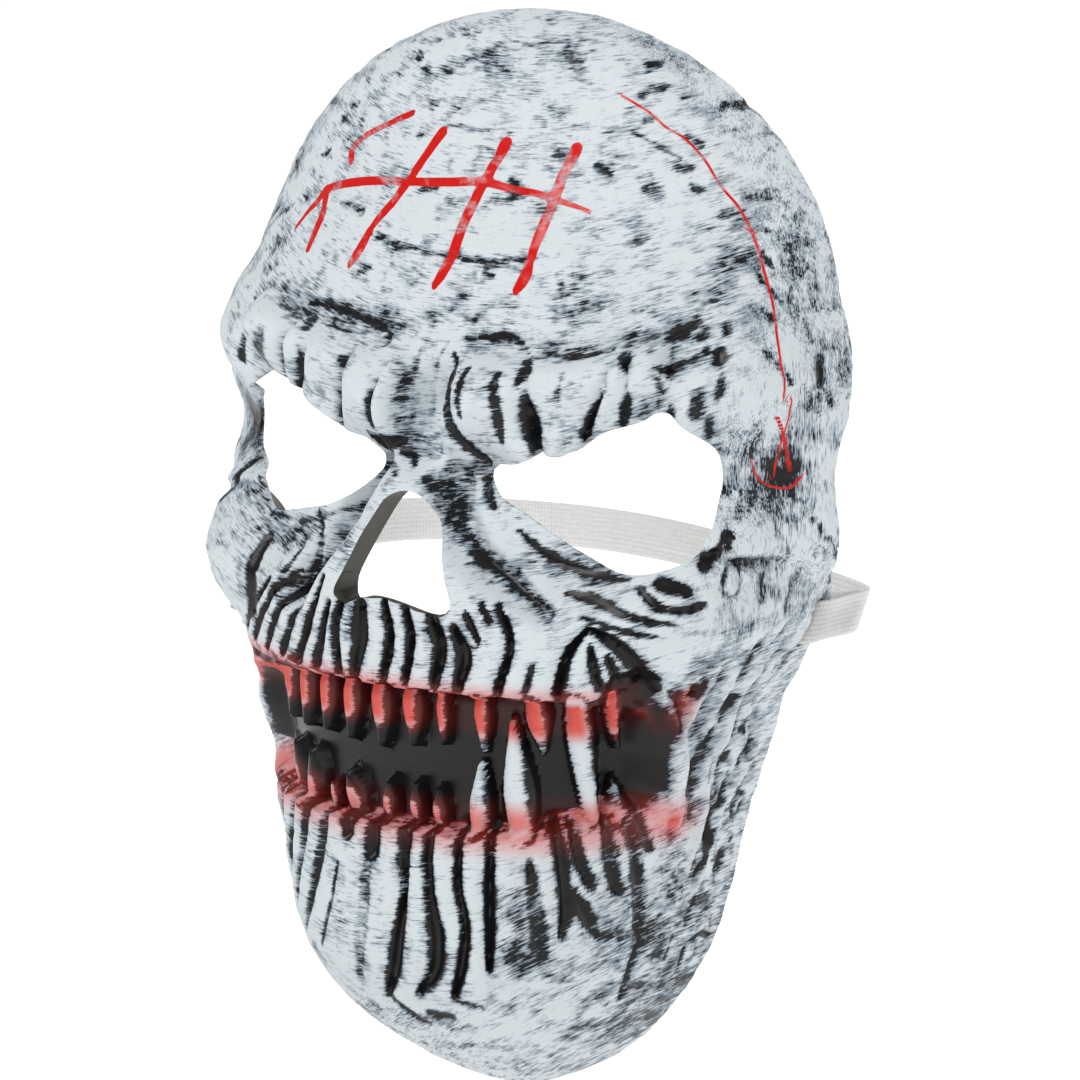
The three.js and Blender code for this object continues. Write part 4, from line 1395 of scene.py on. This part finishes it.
@dataclass(frozen=True)
class KnittedElastic:
    """Undyed polyester warp knit over rubber: soft, matt, with fine courses across."""

    yarn: str = "#f3f0ed"
    gap: str = "#d9d4d0"
    course_mm: float = 0.9
    cord_mm: float = 1.28
    fuzz_mm: float = 0.6
    course_share: float = 0.5
    fuzz_share: float = 1.2
    gap_range: Point = (0.9, -0.9)
    dullness: float = 0.85
    sheen: float = 0.25
    glow_through_mm: float = 8.0
    knit_depth_mm: float = 0.1
    bump: float = 0.4

    def make(self) -> bpy.types.Material:
        """Builds the node material.

        Returns:
            The material.
        """
        material, tree, shader = new_material("knitted_polyester_elastic")
        spread = add_node(tree, "UVMap", {"uv_map": "weave"})
        along, across, _ = add_node(tree, "SeparateXYZ", None, {0: spread}).node.outputs
        turns = (
            add_node(tree, "Math", MULTIPLY, {0: part, 1: math.tau / pitch})
            for part, pitch in ((along, self.course_mm), (across, self.cord_mm))
        )
        courses, cords = (add_node(tree, "Math", {"operation": "COSINE"}, {0: turn}) for turn in turns)
        fuzz = add_node(tree, "TexNoise", None, {
            "Vector": add_node(tree, "TexCoord", output="Object"),
            "Scale": 1.0 / (self.fuzz_mm * MM), "Detail": 3.0})
        knit = cords
        for part, share in ((courses, self.course_share), (fuzz, self.fuzz_share)):
            knit = add_node(tree, "Math", MULTIPLY_ADD, {0: part, 1: share, 2: knit})
        sunk = add_node(tree, "MapRange", SOFT, {
            "Value": knit, "From Min": self.gap_range[0], "From Max": self.gap_range[1]})
        colour = add_node(tree, "Mix", COLOURS, {
            SHARE: sunk, COLOUR_A: linear(self.yarn), COLOUR_B: linear(self.gap)}, COLOUR_OUT)
        bump = add_node(tree, "Bump", None, {
            "Strength": self.bump, "Distance": self.knit_depth_mm * MM, "Height": knit})
        set_inputs(shader, {
            "Base Color": colour, "Roughness": self.dullness, "Sheen Weight": self.sheen, "Normal": bump,
            "Subsurface Weight": 1.0, "Subsurface Radius": (1.0, 1.0, 1.0),
            "Subsurface Scale": self.glow_through_mm * MM})
        return material


@dataclass(frozen=True)
class StudioPaper:
    """Pale matt background paper with a faint tooth. Away from the mask it glows as painted light, and its
    unglowing middle under the mask is a painted shadow.
    """

    sheet: str = "#ffffff"
    shade: str = "#fafafa"
    tooth_mm: float = 3.0
    dullness: float = 0.9
    glow_range_m: Point = (0.4, 0.9)
    glow: float = 0.7

    def make(self) -> bpy.types.Material:
        """Builds the node material.

        Returns:
            The material.
        """
        material, tree, shader = new_material("studio_background_paper")
        place = add_node(tree, "TexCoord", output="Object")
        tooth = add_node(tree, "TexNoise", None, {
            "Vector": place, "Scale": 1.0 / (self.tooth_mm * MM), "Detail": 2.0})
        colour = add_node(tree, "Mix", COLOURS, {
            SHARE: tooth, COLOUR_A: linear(self.sheet), COLOUR_B: linear(self.shade)}, COLOUR_OUT)
        away = add_node(tree, "VectorMath", {"operation": "LENGTH"}, {0: place}, "Value")
        # Painted light: the paper glows more the farther it lies from the mask, so it stays white far off
        # and is darker beneath the mask
        near, far = self.glow_range_m
        glow = add_node(tree, "MapRange", SOFT, {
            "Value": away, "From Min": near, "From Max": far, "To Max": self.glow})
        set_inputs(shader, {
            "Base Color": colour, "Roughness": self.dullness,
            "Emission Color": linear(self.sheet), "Emission Strength": glow})
        return material


# Pieces


@dataclass
class MaskShell:
    """The moulded shell: an outer and an inner sheet joined at the rim and the openings."""

    form: FaceForm
    relief: FaceRelief
    paint: FacePaint
    columns: int = 285
    rows: int = 318
    inner_share: int = 3
    wall: float = 2.1
    inner_sharpness: float = 0.8
    even_part: float = 0.7
    cavity_reach: int = 4
    inner_level: float = -0.2
    snap: float = 0.2
    trim_passes: int = 2
    crease_angle_deg: float = 55.0

    def spread(self, place: Array) -> Array:
        """Gathers grid lines towards the rim, where the wall runs back steeply.

        Args:
            place: even places from -1 to 1.

        Returns:
            Shifted places from -1 to 1.
        """
        away = np.abs(place)
        fall = 1.0 / (1.0 - self.even_part ** 2)
        even = 2.0 / (1.0 + self.even_part) * away
        return np.sign(place) * np.where(away < self.even_part, even, 1.0 - fall * (1.0 - away) ** 2)

    def blurred(self, values: Array, columns: int, reach: int) -> Array:
        """Evens out values of the grid.

        Args:
            values: one value per grid point, row by row.
            columns: points in a row.
            reach: grid steps of the soft brush.

        Returns:
            Evened values in the same order.
        """
        field = values.reshape(-1, columns)
        steps = np.arange(-2 * reach, 2 * reach + 1)
        weight = np.exp(-0.5 * (steps / reach) ** 2)
        weight /= weight.sum()
        for axis in (0, 1):
            padding = [(2 * reach, 2 * reach) if k == axis else (0, 0) for k in (0, 1)]
            padded = np.pad(field, padding, mode="edge")
            size = field.shape[axis]
            field = sum(w * np.take(padded, np.arange(size) + k, axis=axis) for k, w in enumerate(weight))
        return field.ravel()

    def lowest(self, values: Array, columns: int) -> Array:
        """Lowest value around each grid point.

        Args:
            values: one value per grid point, row by row.
            columns: points in a row.

        Returns:
            Lowest values in the same order.
        """
        field = values.reshape(-1, columns)
        padded = np.pad(field, 1, mode="edge")
        tall, wide = field.shape
        return np.min([padded[i:i + tall, j:j + wide] for i in range(3) for j in range(3)], axis=0).ravel()

    def sheet(self, bm: bmesh.types.BMesh, columns: int, rows: int, side: Side) -> list[list[Edge]]:
        """Adds one face of the wall as a bent grid.

        Args:
            bm: the bmesh to add to.
            columns: cells across.
            rows: cells up.
            side: outer or inner face.

        Returns:
            The rim's edges in four runs: bottom, top, left and right.
        """
        verts = bmesh.ops.create_grid(bm, x_segments=columns, y_segments=rows, size=1.0)["verts"]
        border = {e for vert in verts for e in vert.link_edges if e.is_boundary}
        runs = [[e for e in border if all(hand * v.co[axis] > BORDER for v in e.verts)]
                for axis in (1, 0) for hand in (-1, 1)]
        flat = np.array([v.co[:2] for v in verts])
        u, v = self.spread(flat[:, 0]), self.spread(flat[:, 1])
        z = self.form.half_height * v * np.sqrt(1.0 - u * u / 2.0)
        x = self.form.along("wide", z) * u * np.sqrt(1.0 - v * v / 2.0)
        broad = self.relief.broad(x, z)
        fine, cover = self.relief.fine(x, z)
        order = np.lexsort((np.round(flat[:, 0], 5), np.round(flat[:, 1], 5)))
        back = np.argsort(order)
        if side is Side.OUTER:
            rise = broad + fine
            level = rise[order]
            cavity = (self.blurred(level, columns + 1, self.cavity_reach) - level)[back]
            coats = self.paint.coats(x, z, cavity, cover)
        else:
            fine = self.blurred(self.lowest(fine[order], columns + 1), columns + 1, 1)[back]
            rise = broad + self.inner_sharpness * fine - self.wall - self.relief.turned_edge(x, z)
            coats = {Coat.BARE: np.full(len(x), self.inner_level), Coat.SCAR: np.full(len(x), NO_SCAR)}
        points = self.form.place(x, z, rise)
        rim = np.maximum(np.abs(flat[:, 0]), np.abs(flat[:, 1])) > BORDER
        points[rim, 1] = -self.form.temple_cut * self.form.temple_share(z[rim])
        for vert, point in zip(verts, (points * MM).tolist()):
            vert.co = point
        for face in {f for vert in verts for f in vert.link_faces}:
            face.material_index = side.value
        for coat, values in coats.items():
            layer = bm.verts.layers.float[coat.value]
            for vert, value in zip(verts, values.tolist()):
                vert[layer] = value
        return runs

    def open_up(self, bm: bmesh.types.BMesh, test: Callable[[Array], Array], side: Side) -> None:
        """Cuts one opening through both sheets and closes its edge.

        Args:
            bm: the sheets.
            test: distance from the opening, below 0 inside it.
            side: the face of the wall whose finish runs on over the edge.
        """
        verts = list(bm.verts)
        away = dict(zip(verts, test(np.array([v.co for v in verts]) / MM).tolist()))
        line: set[bmesh.types.BMVert] = set()
        for edge in [e for e in bm.edges if (away[e.verts[0]] < 0.0) != (away[e.verts[1]] < 0.0)]:
            a, b = edge.verts
            if a in line or b in line:
                continue
            share = away[a] / (away[a] - away[b])
            if share < self.snap:
                a.co = a.co.lerp(b.co, share)
                line.add(a)
            elif share > 1.0 - self.snap:
                b.co = a.co.lerp(b.co, share)
                line.add(b)
            else:
                line.add(bmesh.utils.edge_split(edge, a, share)[1])
        bmesh.ops.connect_verts(bm, verts=list(line))
        lost = [v for v in verts if away[v] < 0.0 and v not in line]
        bmesh.ops.delete(bm, geom=lost, context="VERTS")
        touching = {f for v in line if v.is_valid for f in v.link_faces}
        slivers = [f for f in touching if all(v in line for v in f.verts)]
        middles = np.array([f.calc_center_median() for f in slivers]).reshape(-1, 3) / MM
        inside = [f for f, d in zip(slivers, test(middles)) if d < 0.0] if slivers else []
        bmesh.ops.delete(bm, geom=inside, context="FACES")
        edges = [e for e in bm.edges if e.is_boundary and e.verts[0] in line and e.verts[1] in line]
        for _ in range(self.trim_passes):
            eased = {}
            for vert in {v for e in edges for v in e.verts}:
                near = [e.other_vert(vert).co for e in vert.link_edges if e.is_boundary]
                if len(near) == 2:
                    eased[vert] = vert.co.lerp((near[0] + near[1]) / 2.0, 0.5)
            for vert, place in eased.items():
                vert.co = place
        self.close_edge(bm, edges, side)

    def close_edge(self, bm: bmesh.types.BMesh, edges: list[Edge], side: Side = Side.INNER) -> None:
        """Joins the outer sheet's edge to the inner one's, with the finish of one side."""
        for face in bmesh.ops.bridge_loops(bm, edges=edges)["faces"]:
            face.material_index = side.value

    def build(self) -> bpy.types.Object:
        """Makes the shell's object.

        Returns:
            The object, without materials.
        """
        bm = bmesh.new()
        for coat in Coat:
            bm.verts.layers.float.new(coat.value)
        outer = self.sheet(bm, self.columns, self.rows, Side.OUTER)
        inner = self.sheet(bm, self.columns // self.inner_share, self.rows // self.inner_share, Side.INNER)
        for outer_run, inner_run in zip(outer, inner):
            self.close_edge(bm, outer_run + inner_run)
        for outline in (RIGHT_EYE, LEFT_EYE):
            self.open_up(bm, outline_side(outline), Side.OUTER)
        for test in (outline_side(NOSE_HOLE), slit_side(1), slit_side(-1)):
            self.open_up(bm, test, Side.INNER)
        bmesh.ops.recalc_face_normals(bm, faces=bm.faces)
        for face in bm.faces:
            face.smooth = True
        piece = new_object("painted_mask_shell", bm)
        piece.data.set_sharp_from_angle(angle=math.radians(self.crease_angle_deg))
        return piece

    def dress(self, piece: bpy.types.Object) -> None:
        """Gives the shell its finishes and its place in the frame.

        Args:
            piece: the shell.
        """
        piece.data.materials.append(DryBrushedPaint().make())
        piece.data.materials.append(MouldedInside().make())
        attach(piece, "root")
        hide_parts("mask_shell")


@dataclass
class ElasticStrap:
    """The flat ribbed band: out through both slits and round behind the head."""

    width: float = 11.5
    thick: float = 1.1
    height: float = -6.0
    lean: float = 0.47
    lean_range: Point = (-2.0, 40.0)
    half_span: float = 80.0
    cords: int = 9
    rib_depth: float = 0.13
    edge_loss: float = 0.55
    edge_power: int = 14
    steps: int = 260
    samples: int = 54
    half: tuple[Point, ...] = (
        (82.2, 11.2), (81.0, 7.0), (77.8, 3.2), (75.9, -0.5), (75.6, -3.4), (77.2, -5.7), (80.7, -5.6),
        (82.1, -3.2), (82.5, 2.0), (83.2, 7.0), (83.8, 11.0), (82.4, 15.0),
    )
    back: tuple[Point, ...] = ((45, 35), (12, 51), (-21, 56), (-50, 50.5), (-70, 38))

    def line(self) -> tuple[Array, Array, float]:
        """The band's middle line seen from above.

        Returns:
            Evenly spaced points, their sideways directions, and the length.
        """
        knots = [*self.half, *self.back, *((-x, y) for x, y in reversed(self.half))]
        drawn = smooth_line(knots, 24)
        run = np.concatenate([[0.0], np.cumsum(np.hypot(*np.diff(drawn, axis=0).T))])
        even = np.linspace(0.0, run[-1], self.steps + 1)
        points = np.column_stack([np.interp(even, run, drawn[:, k]) for k in (0, 1)])
        ahead = np.gradient(points, axis=0)
        ahead /= np.linalg.norm(ahead, axis=1, keepdims=True)
        return points, np.column_stack([-ahead[:, 1], ahead[:, 0]]), float(run[-1])

    def build(self) -> bpy.types.Object:
        """Makes the strap's object.

        Returns:
            The object, without a material.
        """
        points, sideways, length = self.line()
        bm = bmesh.new()
        around = 2 * self.samples
        verts = bmesh.ops.create_grid(bm, x_segments=self.steps, y_segments=around, size=1.0)["verts"]
        flat = np.array([v.co[:2] for v in verts])
        step = np.round((flat[:, 0] + 1.0) / 2.0 * self.steps).astype(int)
        turn = np.round((flat[:, 1] + 1.0) / 2.0 * around).astype(int) % around
        face = np.where(turn <= self.samples, 1.0, -1.0)
        across = np.where(face > 0, turn, around - turn) / self.samples * 2.0 - 1.0
        rib = 0.5 + 0.5 * np.cos(math.pi * (self.cords * (across + 1.0) - 1.0))
        full = 0.5 * self.thick * (1.0 - self.edge_loss * np.abs(across) ** self.edge_power)
        offset = face * np.where(np.abs(across) > BORDER, 0.0, full - self.rib_depth * (1.0 - rib))
        middle = points[step] + sideways[step] * offset[:, None]
        z = 0.5 * self.width * across
        lean = self.lean * (1.0 - smooth(middle[:, 1], *self.lean_range)) * middle[:, 0] / self.half_span
        places = np.column_stack([middle[:, 0] + lean * z, middle[:, 1], self.height + z]) * MM
        weave = bm.loops.layers.uv.new("weave")
        spread = {}
        for vert, place, run, up in zip(verts, places.tolist(), length * step / self.steps, z):
            vert.co = place
            spread[vert] = (run, up)
        for quad in bm.faces:
            quad.smooth = True
            for loop in quad.loops:
                loop[weave].uv = spread[loop.vert]
        bmesh.ops.remove_doubles(bm, verts=bm.verts, dist=0.001 * MM)
        bmesh.ops.holes_fill(bm, edges=[e for e in bm.edges if e.is_boundary], sides=0)
        bmesh.ops.recalc_face_normals(bm, faces=bm.faces)
        LOG.info("strap length %.0f mm", length)
        return new_object("ribbed_elastic_strap", bm)

    def dress(self, piece: bpy.types.Object) -> None:
        """Gives the strap its finish and its place in the frame.

        Args:
            piece: the strap.
        """
        piece.data.materials.append(KnittedElastic().make())
        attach(piece, "root")
        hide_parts("elastic_strap")


@dataclass(frozen=True)
class SoftBox:
    """A square lamp aimed at the mask: its place and side in metres, its power in watts."""

    name: str
    place: tuple[float, float, float]
    size: float
    power: float

    def hang(self) -> None:
        """Adds the lamp to the scene."""
        data = bpy.data.lights.new(self.name, "AREA")
        data.size = self.size
        data.energy = self.power
        lamp = bpy.data.objects.new(self.name, data)
        lamp.location = self.place
        lamp.rotation_euler = (-Vector(self.place)).to_track_quat("-Z", "Y").to_euler()
        bpy.context.scene.collection.objects.link(lamp)


@dataclass
class Studio:
    """White floor, soft light and the camera of the photograph."""

    azimuth: float = 35.0
    elevation: float = 12.0
    distance: float = 1.2
    lens: float = 160.0
    pan_right: float = -2.19 * MM
    pan_up: float = 3.375 * MM
    floor_height: float = -0.30
    floor_size: float = 14.0
    ambient: float = 0.32
    lamps: tuple[SoftBox, ...] = (
        SoftBox("key", (-0.4, -1.2, 1.7), 0.9, 19.5),
        SoftBox("fill", (1.7, -0.9, 0.7), 1.2, 6.0),
        SoftBox("floor_wash", (0.0, 1.6, 2.4), 3.0, 20.0),
        SoftBox("back", (0.3, 1.3, 0.4), 0.8, 7.0),
    )

    def camera(self) -> None:
        """Sets up the camera."""
        turn, lift = math.radians(self.azimuth), math.radians(self.elevation)
        right = Vector((math.cos(turn), math.sin(turn), 0.0))
        back = Vector((math.sin(turn) * math.cos(lift), -math.cos(turn) * math.cos(lift), math.sin(lift)))
        up = back.cross(right)
        data = bpy.data.cameras.new("camera")
        data.lens = self.lens
        data.sensor_width = 36.0
        data.clip_end = 50.0
        camera = bpy.data.objects.new("camera", data)
        place = back * self.distance + right * self.pan_right + up * self.pan_up
        turned = Matrix((right, up, back)).transposed().to_4x4()
        camera.matrix_world = Matrix.Translation(place) @ turned
        bpy.context.scene.collection.objects.link(camera)
        bpy.context.scene.camera = camera

    def floor(self) -> None:
        """Lays the pale floor."""
        bm = bmesh.new()
        bmesh.ops.create_grid(bm, x_segments=8, y_segments=8, size=0.5 * self.floor_size)
        bmesh.ops.translate(bm, verts=bm.verts, vec=(0.0, 0.0, self.floor_height))
        floor = new_object("floor", bm)
        floor.data.materials.append(StudioPaper().make())

    def build(self) -> None:
        """Sets up floor, light and camera."""
        scene = bpy.context.scene
        scene.view_settings.view_transform = "Standard"
        world = bpy.data.worlds.new("studio")
        scene.world = world
        world.use_nodes = True
        tree = world.node_tree
        seen = add_node(tree, "LightPath", output="Is Camera Ray")
        strength = add_node(tree, "MapRange", None, {"Value": seen, "To Min": self.ambient, "To Max": 1.0})
        set_inputs(tree.nodes["Background"], {"Strength": strength, "Color": (1.0, 1.0, 1.0, 1.0)})
        for lamp in self.lamps:
            lamp.hang()
        self.floor()
        self.camera()


def main() -> None:
    """Builds the scene piece by piece and reports each."""
    logging.basicConfig(level=logging.INFO, format="%(name)s: %(message)s")
    Studio().build()
    form = FaceForm()
    for maker in (MaskShell(form, FaceRelief(form), FacePaint(form)), ElasticStrap()):
        piece = maker.build()
        maker.dress(piece)
        triangles = sum(len(p.vertices) - 2 for p in piece.data.polygons)
        LOG.info("%s: %d triangles", piece.name, triangles)


if __name__ == "__main__":
    main()
